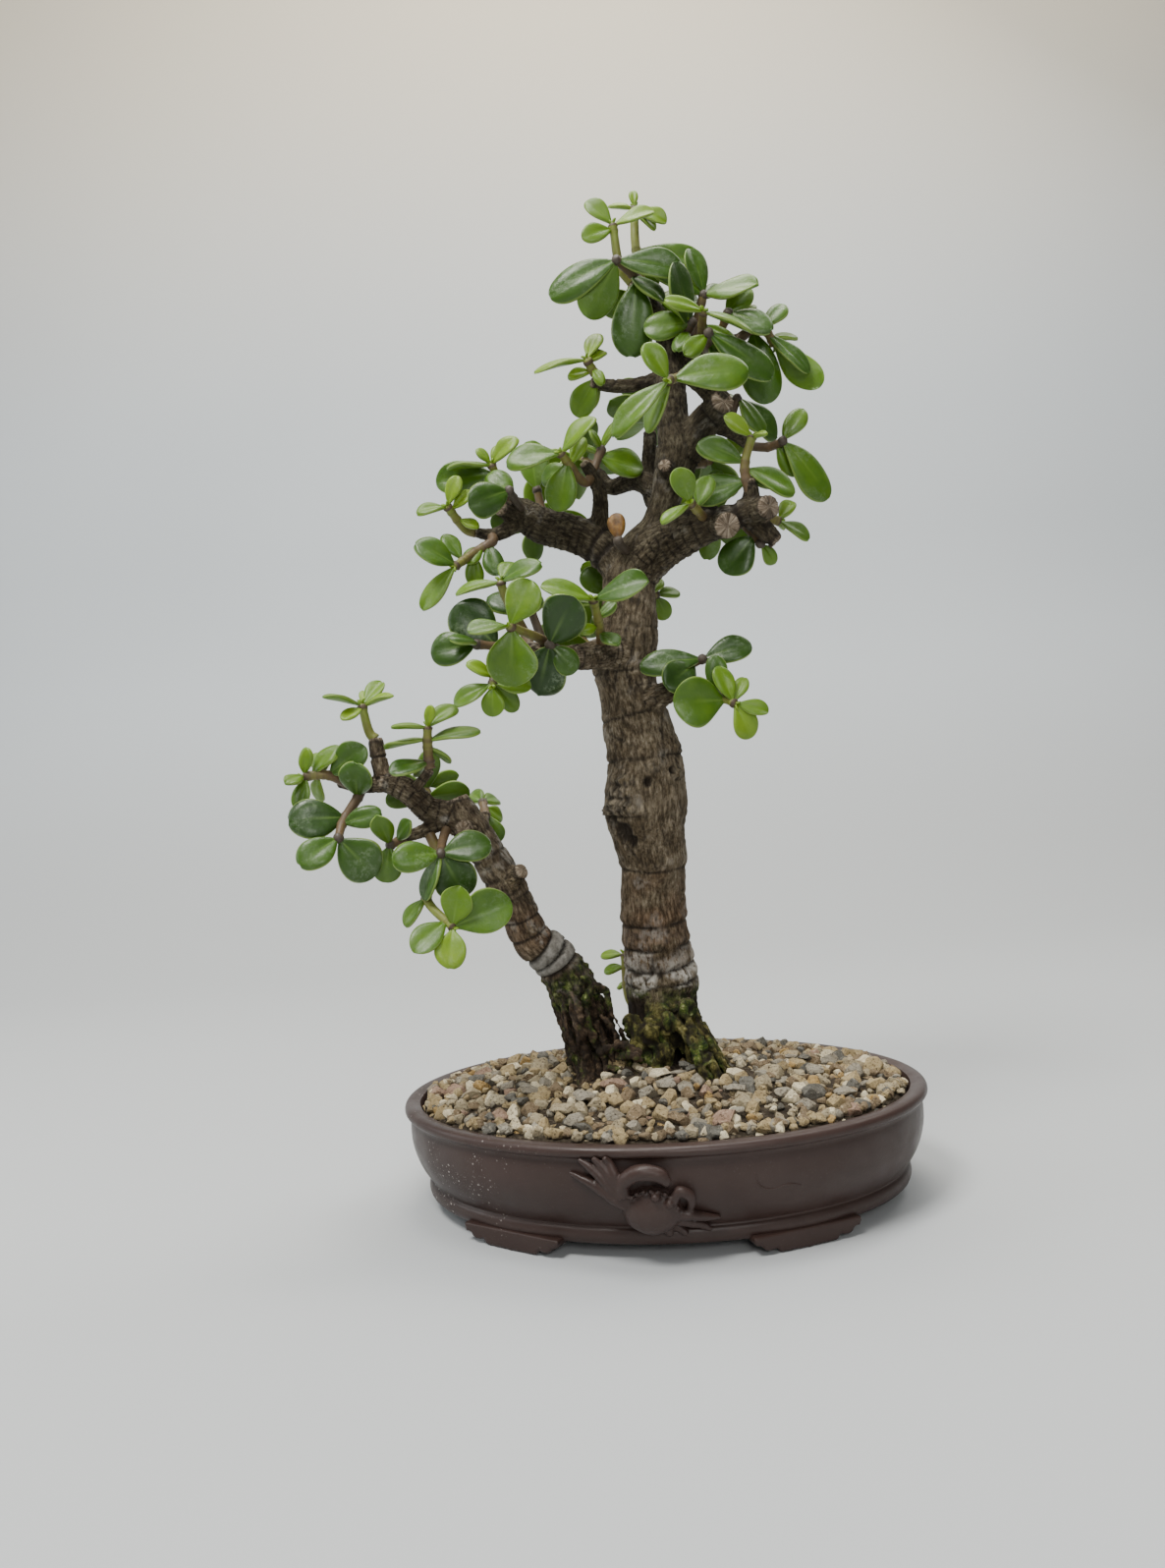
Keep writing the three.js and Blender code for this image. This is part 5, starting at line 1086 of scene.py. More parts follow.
# Height, bearing round the trunk (270 faces the viewer), reach and how far it swells
KNOTS = [
    (113, 224, 3.8, 1.1), (109.5, 206, 3.0, 1.0), (118.5, 236, 2.4, 0.8), (110.8, 245, 2.0, 0.8),
    (122, 280, 2.2, 0.7), (120, 318, 2.4, 0.7),
    (149, 215, 3.0, 0.6), (146, 300, 2.4, 0.5), (160, 250, 2.6, 0.5), (171, 285, 2.2, 0.5),
]
# Folds of bark: height, bearing, how many degrees it spans to each side, depth
FOLDS = [(114.2, 222, 30, 0.9), (108.6, 228, 34, 1.3), (117.8, 226, 24, 0.8), (111.4, 214, 20, 0.7)]
# Height, bearing and reach of the dark hollows
EYES = [(104, 232, 2.9), (101.2, 243, 1.8), (118, 271, 1.5), (120.8, 309, 1.1), (109.6, 232, 0.9)]
SECOND_RING_SCARS = [
    (66.9, 0.8), (72.3, 0.9), (76.5, 0.7), (81.5, 0.8), (87.5, 0.6), (94, 0.6), (100, 0.5), (106, 0.5),
]
SECOND_KNOTS = [(92, 300, 2.6, 0.9), (107, 270, 3.0, 0.8), (78, 290, 2.2, 0.6), (98, 250, 2.2, 0.5)]
# Heights of the left trunk's two swollen pale rings
PALE_RINGS = (71.0, 68.3)


# Finer roots, bulbs and dead fibres, fused into the trunks' skins
ROOT_STRANDS = [
    [[2.5, -5, 52, 1.2], [8, -9, 46, 1.5], [11, -14, 38, 1.4], [13, -19, 30, 0.9]],
    [[7, -3, 52, 1.2], [11.5, -8, 44.5, 1.5], [15, -13.5, 37, 1.4], [18, -18, 30, 0.9]],
    [[11, -1, 50, 1.1], [15, -4.5, 42, 1.4], [19, -8, 35, 1.2], [22, -11, 29, 0.8]],
    [[-5, -4, 49, 1.1], [-7.5, -7.5, 43, 1.3], [-9, -10.5, 36, 1.0]],
]
BULBS = [
    ((-2.5, -7.5, 46.5), (3.6, 3.0, 4.8)), ((3, -7.2, 49), (3.0, 2.6, 3.6)), ((-7, -3, 48), (3, 3, 4)),
    ((9, -2.5, 52), (3.0, 2.6, 3.0)), ((-6, -7, 41), (2.6, 2.4, 3.2)), ((1.5, -9.5, 41), (2.6, 2.4, 3.4)),
]
FIBRES = [
    [[-19, -4, 58, 0.9], [-16, -7, 61.5, 0.9], [-14, -8, 60.5, 0.7]],
    [[-17, -3, 57, 0.7], [-14, -7, 60, 0.6], [-12.5, -8, 53, 0.5], [-10.5, -7, 49, 0.5], [-9, -5, 43, 0.6]],
    [[-16, -4, 52, 0.6], [-12.5, -8, 49, 0.5], [-11.5, -8, 43, 0.5]],
    [[-21, -4, 61, 0.6], [-20, -7.5, 64, 0.6], [-17.5, -7.5, 63, 0.4]],
    [[-24, -4, 57, 0.9], [-22.5, -5.5, 47, 1.0], [-19, -6, 37, 0.9]],
    [[-17, -3, 50, 0.8], [-14.5, -4, 42, 0.9], [-11.5, -5, 35, 0.8]],
    [[-20, -4.5, 58, 0.7], [-19, -6, 49, 0.9], [-16, -6, 40, 0.8], [-14, -7, 33, 0.7]],
    [[-26, -3, 56, 0.8], [-25.5, -4, 50, 0.7], [-24, -5, 42, 0.8]],
    [[-16, -7, 37, 0.9], [-11, -9, 37.5, 0.8], [-6, -11, 36, 0.7]],
    [[-15, -7, 43, 0.9], [-10, -10.5, 44.5, 1.1], [-5, -12.5, 42.5, 0.7]],
    [[-12, -8, 40.5, 0.9], [-8, -12.5, 42.2, 1.0], [-5, -14, 40.6, 0.7]],
    [[-25, -3.5, 60, 0.6], [-22.5, -6.5, 57, 0.8], [-21, -7, 50, 0.7], [-21, -6, 46, 0.5]],
]


def nearest_on_limbs(points, limbs):
    """For each point: the radius, angle and distance along the limb whose skin it lies on."""
    lines, offset = [], 0.0
    for rows in limbs:
        line = limb_line(rows, LINE_STEP)
        gone = travelled_along(line[0])
        lines.append((*line, gone + offset, gone[-1] - gone))
        offset += gone[-1] + LIMB_GAP
    centres, radii, along, side, marks, left = (np.concatenate(part) for part in zip(*lines))
    found = np.zeros(len(points), int)
    for start in range(0, len(points), CHUNK):
        gap = np.linalg.norm(points[start:start + CHUNK, None] - centres[None], axis=2)
        found[start:start + CHUNK] = np.argmin(np.abs(gap - radii[None]) + 0.15 * gap, axis=1)
    away = points - centres[found]
    forward = np.einsum("ij,ij->i", away, along[found])
    flat = away - forward[:, None] * along[found]
    x = np.einsum("ij,ij->i", flat, side[found])
    y = np.einsum("ij,ij->i", flat, np.cross(along, side)[found])
    return {
        "radius": radii[found], "angle": np.arctan2(y, x), "mark": marks[found] + forward,
        "left": left[found] - forward, "level": centres[found, 2] + forward * along[found, 2],
    }


def on_trunk_skin(rows, height, bearing):
    """The point of a trunk's skin at a height and a bearing."""
    rows = np.array(rows)
    x, y, radius = (np.interp(height, rows[:, 2], rows[:, i]) for i in (0, 1, 3))
    bearing = math.radians(bearing)
    return np.array([x + radius * math.cos(bearing), y + radius * math.sin(bearing), height])


def bark_relief(points, skin, rows, scars, knots, eyes=(), folds=()):
    """How far each point of the skin moves outward, and the numbers that colour it."""
    radius, angle, mark, level = (skin[key] for key in ("radius", "angle", "mark", "level"))
    ring, lip, pit, bump, none = np.zeros((5, len(points)))
    bark = np.stack([radius * np.cos(angle), radius * np.sin(angle), mark], axis=1)
    size = np.clip(radius / 9, 0.25, 1.1)
    warp = noise_vectors(bark / 6, 20) * 1.6
    net = cell_edges((bark + warp) / [4.2, 4.2, 13], 3)
    crack = (1 - rising(net, 0.01, 0.09)) * patches(bark, 8, 41, -0.35, 0.35)
    fine = 1 - rising(cell_edges((bark + warp * 0.6) / [1.5, 1.5, 7.0], 9), 0.01, 0.16)
    wave = 0.6 * layered_noise(bark / 9, 2, 55)
    on_trunk = np.abs(mark - np.clip(mark, 0, length_of(rows))) < 1e-6
    for number, (height, depth) in enumerate(scars):
        gap = level - height + wave
        arc = rising(smooth_noise(bark * [0.16, 0.16, 0] + number * 3.7, 61), -0.75, -0.25)
        ring += depth * bell(gap, 0.4) * on_trunk * arc
        lip += depth * bell(gap - 1.8, 1.3) * on_trunk * arc
    joints = np.sin(mark * 2 * math.pi / (7 + 1.2 * np.sin(mark / 17)) + 1.5 * wave)
    ring += ~on_trunk * 0.95 * rising(joints, 0.88, 0.99)
    lip += ~on_trunk * 1.1 * rising(joints, 0.3, 0.8) * rising(joints, 0.95, 0.8)
    for high, bearing, reach, strength in knots:
        gap = points - on_trunk_skin(rows, high, bearing)
        gap = np.linalg.norm(gap * [1, 1, 1.25], axis=1) / reach + 0.25 * layered_noise(points / 2.2, 2, 66)
        knob = strength * bell(gap, 1)
        bump += knob * (1.3 + 0.35 * np.sin(points[:, 2] * 4.2 + 5 * smooth_noise(points / 4, 8)))
        pit += 0.8 * strength * bell(gap - 1.0, 0.13) + 0.5 * strength * bell(gap - 0.5, 0.10)
    for high, bearing, reach in eyes:
        gap = points - on_trunk_skin(rows, high, bearing)
        gap = np.linalg.norm(gap * [1, 1, 0.8], axis=1) / reach
        pit += 2.2 * rising(gap + 0.3 * layered_noise(points / 1.5, 2, 67), 1.0, 0.5)
    table = np.array(rows)
    middle_x, middle_y = (np.interp(points[:, 2], table[:, 2], table[:, i]) for i in (0, 1))
    bearings = np.degrees(np.arctan2(points[:, 1] - middle_y, points[:, 0] - middle_x)) % 360
    for high, bearing, span, strength in folds:
        gap = points[:, 2] - high + 0.9 * wave + 0.02 * (bearings - bearing)
        reach = strength * bell(bearings - bearing, span) * on_trunk
        pit += reach * bell(gap, 0.42)
        bump += 0.6 * reach * bell(gap - 1.7, 1.1)
    cut = rising(skin["left"], 1.5, 0.5) * (radius < CUT_RADIUS)
    rays = layered_noise(bark / [0.7, 0.7, 50], 2, 77)
    lumps = 0.75 * layered_noise(bark / [7, 7, 9], 3, 70)
    plates = 0.26 * layered_noise(bark / [1.7, 1.7, 9], 3, 80)
    grit = 0.20 * layered_noise(bark / [0.7, 0.7, 2.4], 2, 90)
    depth = size * (lumps + plates + grit + 0.38 * lip + 1.35 * bump - 0.42 * crack - 0.14 * fine)
    depth -= 0.7 * size ** 0.5 * ring + 0.7 * pit
    depth = depth * (1 - 0.7 * cut) + 0.35 * cut * rays
    rim = bell(skin["left"] - 1.2, 0.45) * (radius < CUT_RADIUS)
    dark = np.clip(0.8 * crack + 1.1 * ring + 0.75 * pit + 0.3 * fine + 0.8 * rim, 0, 1)
    return bark, depth, {"bark": bark, "crack": dark, "cut": cut, "bump": np.clip(bump, 0, 1.2),
                         "grey": none, "root": none}


def trunk_skin(limbs, extras=(), voxel=VOXEL):
    return fused([*(limb_mesh(rows, TUBE_SIDES, TUBE_STEP) for rows in limbs), *extras], voxel, 4)


def band(height, low, high, soft=1.5):
    return rising(height, low - soft, low + soft) * rising(height, high + soft, high - soft)


# The surface roots are thinner than the solid's, and drawn in towards the trunk
ROOT_SLIM, ROOT_PULL = 0.76, 0.86


def above_roots(points, roots, bulbs):
    """How far each point lies outside the nearest root or bulb."""
    lines = [limb_line(rows, LINE_STEP)[:2] for rows in roots]
    centres, radii = (np.concatenate(part) for part in zip(*lines))
    gaps = np.full(len(points), 9.0)
    low = np.nonzero(points[:, 2] < 60)[0]
    for start in range(0, len(low), CHUNK):
        some = low[start:start + CHUNK]
        away = np.linalg.norm(points[some][:, None] - centres[None], axis=2) - radii[None]
        gaps[some] = away.min(axis=1)
    for centre, reach in bulbs:
        away = (np.linalg.norm((points - centre) / np.array(reach), axis=1) - 1) * np.mean(reach)
        gaps = np.minimum(gaps, away)
    return gaps


def main_trunk(limbs, finish):
    slim = [[[x * ROOT_PULL, y, z, radius * ROOT_SLIM] for x, y, z, radius in rows] for rows in ROOTS]
    others = [rows for rows in limbs if rows not in ROOTS]
    strands = [*slim, *ROOT_STRANDS]
    points, normals, faces = trunk_skin([*others, *strands], [ball_mesh(*bulb) for bulb in BULBS])
    skin = nearest_on_limbs(points, limbs)
    bark, depth, values = bark_relief(points, skin, TRUNK, RING_SCARS, KNOTS, EYES, FOLDS)
    height, level = points[:, 2].copy(), skin["level"]
    low = rising(height, 57, 51)
    gap = above_roots(points, strands, BULBS) + 0.25 * layered_noise(points / 1.2, 2, 49)
    depth = mix(depth, 0.65 * layered_noise(points / [1.3, 1.3, 2.8], 3, 47), low)
    depth -= 0.9 * low * rising(gap, 0.2, 1.0)
    parting = low * rising(np.abs(layered_noise(points / [2.6, 2.6, 9], 2, 51)), 0.16, 0.03)
    depth -= parting
    points = points + normals * depth[:, None]
    cloud = layered_noise(bark / 5, 3, 34)
    on_trunk = skin["mark"] < length_of(TRUNK)
    values["pale"] = np.clip(
        0.95 * band(level, 54.5, 63.3, 0.7) * patches(bark, 4, 33, -0.4, 0.1) * on_trunk
        + 0.60 * band(level, 63.3, 69.5, 0.5) * rising(cloud, -0.35, 0.2) * on_trunk
        + 0.12 * band(level, 69.5, 76.4, 0.5) * rising(cloud, -0.1, 0.3) * on_trunk
        + 0.22 * rising(cloud, 0.20, 0.55) + 0.14 * values["bump"], 0, 1)
    # Painted shade under the crown's leaves, which also darkens the younger bark up there
    values["shade"] = rising(height, 160, 195) * (1 - values["cut"])
    values["red"] = (band(level, 63.3, 84, 3) + 0.5 * band(level, 84, 93)) * rising(cloud, -0.5, 0.3)
    # Near the foot the dark follows the hollows between the roots, as painted shade, and the partings
    values["crack"] = np.maximum(mix(values["crack"], rising(gap, 0.3, 0.85), low), parting)
    values["root"] = low * rising(gap, 1.0, 0.4)
    thin_from = mix(-0.1, -0.5, rising(height, 48, 54))
    values["moss"] = rising(height, 59, 54) * patches(points, 4, 35, thin_from, 0.3)
    # Moss is kept out of the root hollows, which get painted shade, near black
    values["moss"] *= 1 - 0.8 * rising(gap, 0.3, 0.9) * rising(height, 54, 50)
    values["rot"] = low * rising(gap, 0.35, 0.9)
    mesh_piece("trunk_main_bark", "trunk_main", from_plant(points), faces, [finish], values)


def second_trunk(limbs, finish):
    points, normals, faces = trunk_skin([*limbs, *FIBRES], (), FINE_VOXEL)
    skin = nearest_on_limbs(points, limbs)
    bark, depth, values = bark_relief(points, skin, SECOND_TRUNK, SECOND_RING_SCARS, SECOND_KNOTS)
    height, level = points[:, 2], skin["level"]
    low = rising(level, 66.8, 64.4)
    rough = layered_noise(points / [1.3, 1.3, 2.6], 3, 48)
    rough += 0.9 * np.abs(layered_noise(points / [3.2, 3.2, 6], 2, 50))
    on_trunk = skin["mark"] < length_of(SECOND_TRUNK)
    swell = sum(np.sqrt(np.clip(1 - ((level - middle) / 1.35) ** 2, 0, 1)) for middle in PALE_RINGS)
    swell = swell * on_trunk
    pale = rising(swell, 0.1, 0.6)
    depth = mix(depth, 1.3 * rough, low) * (1 - 0.75 * pale) + 0.65 * swell
    high_ring, low_ring = PALE_RINGS
    creases = (low_ring - 1.4, (low_ring + high_ring) / 2, high_ring + 1.4)
    crease = sum(bell(level - z, 0.32) for z in creases) * on_trunk
    depth -= 0.6 * crease
    values["crack"] = np.maximum(values["crack"] * (1 - 0.9 * pale), np.clip(crease, 0, 1))
    points = points + normals * depth[:, None]
    patch = 0.35 * band(level, 58.5, 67, 1.5) * patches(points, 4, 44, -0.2, 0.2)
    values["grey"] = rising(swell, 0.0, 0.3)
    values["pale"] = np.clip(0.4 * patches(bark, 5, 34, 0.18, 0.5, 3) + patch, 0, 1)
    # Painted shade towards the top of the left trunk, under its leaves
    values["shade"] = 0.3 * rising(height, 85, 105)
    values["red"] = 0.8 * band(height, 72, 84, 3) + 0.4 * patches(bark, 6, 39, 0, 0.5)
    thin_from = mix(0.0, -0.8, rising(height, 52, 58))
    values["moss"] = 0.9 * low * patches(points, 3, 35, thin_from, 0.3)
    values["rot"] = low * patches(points, 4, 37, -1.0, -0.4) * (1 - 0.6 * patch)
    mesh_piece("trunk_left_bark", "trunk_left", from_plant(points), faces, [finish], values)


def length_of(rows):
    return travelled_along(limb_line(rows, LINE_STEP)[0])[-1]


# Pot
def inset_at(z):
    for (inset0, z0), (inset1, z1) in zip(POT_OUTSIDE, POT_OUTSIDE[1:]):
        if z1 > z:
            return mix(inset0, inset1, (z - z0) / (z1 - z0))
    return POT_OUTSIDE[-1][0]


def on_belly(x, z, out):
    inset = inset_at(z) - out
    turn = math.acos(x / (POT_LENGTH / 2 - inset))
    return [x, -(POT_DEPTH / 2 - inset) * math.sin(turn), z]


def softened(outline, rounds=3):
    """An open outline with its corners cut back again and again."""
    outline = np.array(outline, float)
    for _ in range(rounds):
        quarter = mix(outline[:-1], outline[1:], 0.25)
        three = mix(outline[:-1], outline[1:], 0.75)
        inner = np.stack([quarter, three], axis=1).reshape(-1, 2)
        outline = np.concatenate([outline[:1], inner, outline[-1:]])
    return outline


POT_TURNS, BED_TURNS = 256, 160


def oval_turning(outline, sides=POT_TURNS):
    """Points and faces of an outline of inset and height carried round the oval."""
    cos, sin = around(sides)
    inset, z = outline[:, :1], outline[:, 1:]
    x, y = (POT_LENGTH / 2 - inset) * cos, (POT_DEPTH / 2 - inset) * sin
    points = np.stack([x, y, np.broadcast_to(z, x.shape)], axis=2).reshape(-1, 3)
    return np.concatenate([points, z[[0, -1]] * UP]), closed_rings(len(outline), sides)


def pot_piece(finish):
    outside = softened(POT_OUTSIDE + POT_INSIDE[:1], 3)
    inside = softened(POT_INSIDE, 2)
    points, faces = oval_turning(np.concatenate([outside, inside[1:]]))
    piece = mesh_piece("pot_bowl", "pot", points, faces, [finish])
    for sign in (1, -1):
        bpy.ops.mesh.primitive_cylinder_add(radius=DRAIN_RADIUS * MM, depth=0.06, vertices=64)
        drill = bpy.context.object
        drill.location = Vector(from_pot([sign * SCREEN["x"], 0, 0]))
        bpy.context.view_layer.update()
        cut = piece.modifiers.new("drain", "BOOLEAN")
        cut.operation, cut.object, cut.solver = "DIFFERENCE", drill, "EXACT"
        made = after_modifiers(piece)
        piece.modifiers.clear()
        piece.data = made
        bpy.data.objects.remove(drill)


def foot_outline():
    """A bracket foot seen from outside: its flat top, and scalloped lobes below."""
    lobes = [(0.0, 8.6, 2.2, 2.2), (10.7, 2.2, 2.9, 1.9), (13.8, 1.3, 4.2, 1.5)]
    half = []
    for s in np.linspace(0, 15, 61):
        lows = [4.4]
        for middle, wide, top, deep in lobes:
            share = abs(s - middle) / wide
            if share < 1:
                power = 6 if middle == 0 else 2
                lows.append(top - deep * (1 - share ** power) ** (1 / power))
        half.append((s, min(lows)))
    under = [(-s, z) for s, z in half[:0:-1]] + half
    return np.array([(-15, 5.0), *under, (15, 5.0)])


def foot_mesh(turn):
    """A bracket foot with a cloud's curls on its two ends, standing out a little from the base."""
    cos, sin = math.cos(turn), math.sin(turn)
    x, y = (POT_LENGTH / 2 - 5.2) * cos, (POT_DEPTH / 2 - 5.2) * sin
    outward = math.atan2(sin / (POT_DEPTH / 2), cos / (POT_LENGTH / 2))
    out = np.array([math.cos(outward), math.sin(outward), 0])
    tangent = np.array([-out[1], out[0], 0])
    outline = foot_outline()
    front = [np.array([x, y, 0]) + tangent * s + UP * z for s, z in outline]
    back = [point - out * FOOT_THICK for point in front]
    count = len(outline)
    faces = [list(range(count)), [count + k for k in range(count)][::-1]]
    for k in range(count):
        following = (k + 1) % count
        faces.append([k, count + k, count + following, following])
    return np.array(front + back), faces, {}


def feet_piece(finish):
    turns = [FOOT_AT, 180 - FOOT_AT, 180 + FOOT_AT, -FOOT_AT]
    points, _, faces = fused([foot_mesh(math.radians(turn)) for turn in turns], FEET_VOXEL, 3)
    points[:, 2] = np.maximum(points[:, 2], 0)
    mesh_piece("pot_feet", "pot", points, faces, [finish])


# The crab on the front: the height of its middle, its shell, and its limbs' points across, up,
# standing out and radius: a folded claw over the shell, a small claw, legs
CRAB_AT = 14.3
SHELL = {"at": (0.3, 0.2), "radii": (7.4, 4.2, 6.4)}
CRAB_LIMBS = [
    [[-6.6, 4.2, 1.2, 1.9], [-6, 7.6, 2, 1.8], [-2.4, 10.2, 2.8, 2.0], [2.6, 9.7, 2.6, 1.9],
     [5, 7.4, 2.2, 1.2]],
    [[5.4, 2.8, 1.2, 1.4], [7.6, 5.2, 1.8, 1.3], [10, 3.2, 1.6, 1.3], [9.4, -0.6, 1.2, 0.7]],
    [[-5, 0.8, 0.8, 1.5], [-9, 3.8, 1.6, 1.5], [-13, 6.6, 1.5, 1.3], [-19.6, 9.4, 0.7, 0.5]],
    [[-5.4, 1.8, 0.8, 1.5], [-9.2, 6.2, 1.8, 1.4], [-12.6, 10, 1.7, 1.3], [-16.8, 13, 0.7, 0.5]],
    [[-5.6, 2.8, 0.8, 1.4], [-8.6, 8, 1.9, 1.3], [-10.8, 11.2, 1.8, 1.2], [-13.2, 13.6, 0.8, 0.6]],
    [[-5.4, 3.6, 0.8, 1.2], [-7.8, 9.2, 1.9, 1.2], [-9.2, 12, 1.7, 1.1], [-10.4, 13.8, 0.8, 0.6]],
    [[5, -1.8, 0.8, 1.5], [8.6, -1.4, 1.5, 1.4], [12.4, -2.4, 1.3, 1.1], [16.6, -3.4, 0.6, 0.5]],
    [[4.6, -2.8, 0.8, 1.4], [9, -4, 1.2, 1.3], [12, -5.2, 1.0, 1.0], [14.2, -6.8, 0.5, 0.6]],
    [[3.4, -3.6, 0.8, 1.3], [6.6, -6.2, 0.9, 1.1], [8.2, -7.6, 0.5, 0.8]],
    [[2, -4.6, 0.8, 1.2], [4.4, -7.4, 0.6, 0.9]],
]


def crab_piece(finish):
    """The moulded crab: a domed shell with a beaded edge, two eyes, claws and jointed legs."""
    across, up = SHELL["at"]
    wide, _, high = SHELL["radii"]
    parts = [ball_mesh(on_belly(across, CRAB_AT + up, 0), SHELL["radii"])]
    for x, z in ((1.6, 4.2), (4.8, 2.4)):
        parts.append(ball_mesh(on_belly(x, CRAB_AT + z, 2.6), (1.2, 1.3, 1.1)))
    for turn in np.radians(np.arange(8, 150, 16)):
        x, z = across + wide * 0.86 * math.cos(turn), up + high * 0.86 * math.sin(turn)
        parts.append(ball_mesh(on_belly(x, CRAB_AT + z, 2.1), (0.7, 0.8, 0.6), 8, 12))
    for rows in CRAB_LIMBS:
        placed = [[*on_belly(x, CRAB_AT + z, out), radius] for x, z, out, radius in rows]
        parts.append(limb_mesh(placed, 16, 0.6))
    points, normals, faces = fused(parts, CRAB_VOXEL, 3)
    points = points + normals * (0.12 * layered_noise(points / 1.6, 3, 5))[:, None]
    mesh_piece("pot_crab", "pot", points, faces, [finish])


# A shallow scratch in the clay: across, up
SCRATCH = [(25.5, 22), (26.5, 18.6), (29, 17.2), (34, 17.8), (36.5, 17)]


def scratch_piece(finish):
    points, faces, _ = limb_mesh([[*on_belly(x, z, -0.08), 0.17] for x, z in SCRATCH], 8, 0.5)
    mesh_piece("pot_scratch", "pot", points, faces, [finish])


def screen_pieces(finish):
    """Two squares of mesh over the drain holes: wires across and, a little higher, along."""
    half, wire = SCREEN["side"] / 2, SCREEN["wire"] / 2
    count = int(SCREEN["side"] / SCREEN["pitch"]) + 1
    z = FLOOR_TOP + 0.2 + SCREEN["thick"] / 2
    for name, x in (("drain_screen_right", SCREEN["x"]), ("drain_screen_left", -SCREEN["x"])):
        bars = []
        for k in range(count):
            offset = -half + wire + k * (SCREEN["side"] - SCREEN["wire"]) / (count - 1)
            stops = (-half, 0, half)
            bars.append(limb_mesh([[x + offset, stop, z - 0.15, wire] for stop in stops], 8, 4))
            bars.append(limb_mesh([[x + stop, offset, z + 0.15, wire] for stop in stops], 8, 4))
        points, faces, _ = joined_meshes(bars)
        mesh_piece(f"{name}_mesh", name, points, faces, [finish])


# Soil
# The grains are heaped round the trunks: middle, height and spread of the heap
HEAP = {"at": (-2, -7), "height": 4.6, "spread": 15}


def soil_top(x, y):
    share = (x / (POT_LENGTH / 2)) ** 2 + (y / (POT_DEPTH / 2)) ** 2
    away = np.hypot(x - HEAP["at"][0], y - HEAP["at"][1]) / HEAP["spread"]
    return SOIL_RIM + SOIL_CROWN * np.clip(1 - share, 0, 1) + HEAP["height"] * np.exp(-away ** 2)


def bed_piece(finish):
    outline = [[inset + 0.4, z] for inset, z in SOIL_EDGE] + [[5.8, SOIL_RIM - 0.4]]
    domes = [[inset, 0.0] for inset in np.linspace(7, 54, 34)]
    points, faces = oval_turning(np.array(outline + domes), BED_TURNS)
    on_top = np.arange(len(points)) >= len(outline) * BED_TURNS
    on_top[-2] = False
    points[on_top, 2] = soil_top(points[on_top, 0], points[on_top, 1]) - 0.7
    points[:, 2] += on_top * 0.5 * layered_noise(points / 3.0, 3, 12)
    mesh_piece("soil_bed", "soil", points, faces, [finish])


# Crushed grains: how far apart, and each layer's lift, least and largest radius, and seed. Then
# the numbers of flat chips and of grains at the rim, the cuts of a grain, how much closer rows lie
# than grains in a row, and the seeds
GRAIN_PITCH = 4.1
GRAIN_LAYERS = [(-1.8, 2.0, 3.0, 9300), (0.0, 1.5, 4.3, 9400)]
CHIPS, EDGE_GRAINS = 34, 190
CUTS = 9
ROW_SHARE = 0.866
EDGE_SEED, CHIP_SEED, GRAIN_SEED = 9550, 9500, 9600


def rock_shape(cuts):
    """A ball of small triangles."""
    bpy.ops.mesh.primitive_ico_sphere_add(subdivisions=cuts, radius=1)
    ball = bpy.context.object
    points = np.array([vertex.co for vertex in ball.data.vertices])
    faces = [list(polygon.vertices) for polygon in ball.data.polygons]
    bpy.data.objects.remove(ball)
    return points, faces


def crushed(ball, draw):
    """The ball cut flat by planes all round, as crushed stone breaks."""
    points = ball.copy()
    for k in range(CUTS):
        rise = 1 - 2 * (k + draw()) / CUTS
        turn = 2.4 * k + draw()
        flat = math.sqrt(max(0.0, 1 - rise * rise))
        normal = np.array([flat * math.cos(turn), flat * math.sin(turn), rise])
        over = np.maximum(points @ normal - mix(0.44, 0.78, draw()), 0)
        points = points - over[:, None] * normal
    return points


def turning_matrix(draw, upright):
    spin = Matrix.Rotation(draw() * 2 * math.pi, 3, "Z")
    tilt = Matrix.Rotation((draw() - 0.5) * 2 * upright, 3, "X")
    return np.array(spin @ tilt)


def grain_wishes():
    """Place, radius, flatness and kind of every grain."""
    grains = []
    rows = int(POT_DEPTH / 2 / (GRAIN_PITCH * ROW_SHARE)) + 1
    columns = int(POT_LENGTH / 2 / GRAIN_PITCH) + 1
    for lift, small, large, seed in GRAIN_LAYERS:
        draw = random_from(seed)
        for row in range(-rows, rows + 1):
            for column in range(-columns, columns + 1):
                x = (column + (row % 2) / 2 + (draw() - 0.5) * 0.8) * GRAIN_PITCH
                y = (row * ROW_SHARE + (draw() - 0.5) * 0.8) * GRAIN_PITCH
                size = mix(small, large, draw() ** 1.9)
                sunk = 0.12 * max(size - 2.6, 0)
                grains.append((x, y, lift - sunk, size, mix(0.6, 1, draw()), draw()))
    draw = random_from(EDGE_SEED)
    for k in range(EDGE_GRAINS):
        turn = 2 * math.pi * (k + draw()) / EDGE_GRAINS
        inset = mix(7.0, 9.4, draw())
        x, y = (POT_LENGTH / 2 - inset) * math.cos(turn), (POT_DEPTH / 2 - inset) * math.sin(turn)
        grains.append((x, y, 0.4, mix(1.5, 2.8, draw()), mix(0.6, 1, draw()), draw()))
    draw = random_from(CHIP_SEED)
    for _ in range(CHIPS):
        turn, reach = 2 * math.pi * draw(), math.sqrt(draw()) * 0.9
        x = (POT_LENGTH / 2 - 9) * reach * math.cos(turn)
        y = (POT_DEPTH / 2 - 9) * reach * math.sin(turn)
        grains.append((x, y, 1.3, mix(2.6, 4.6, draw()), 0.34, mix(0.58, 0.82, draw())))
    return grains


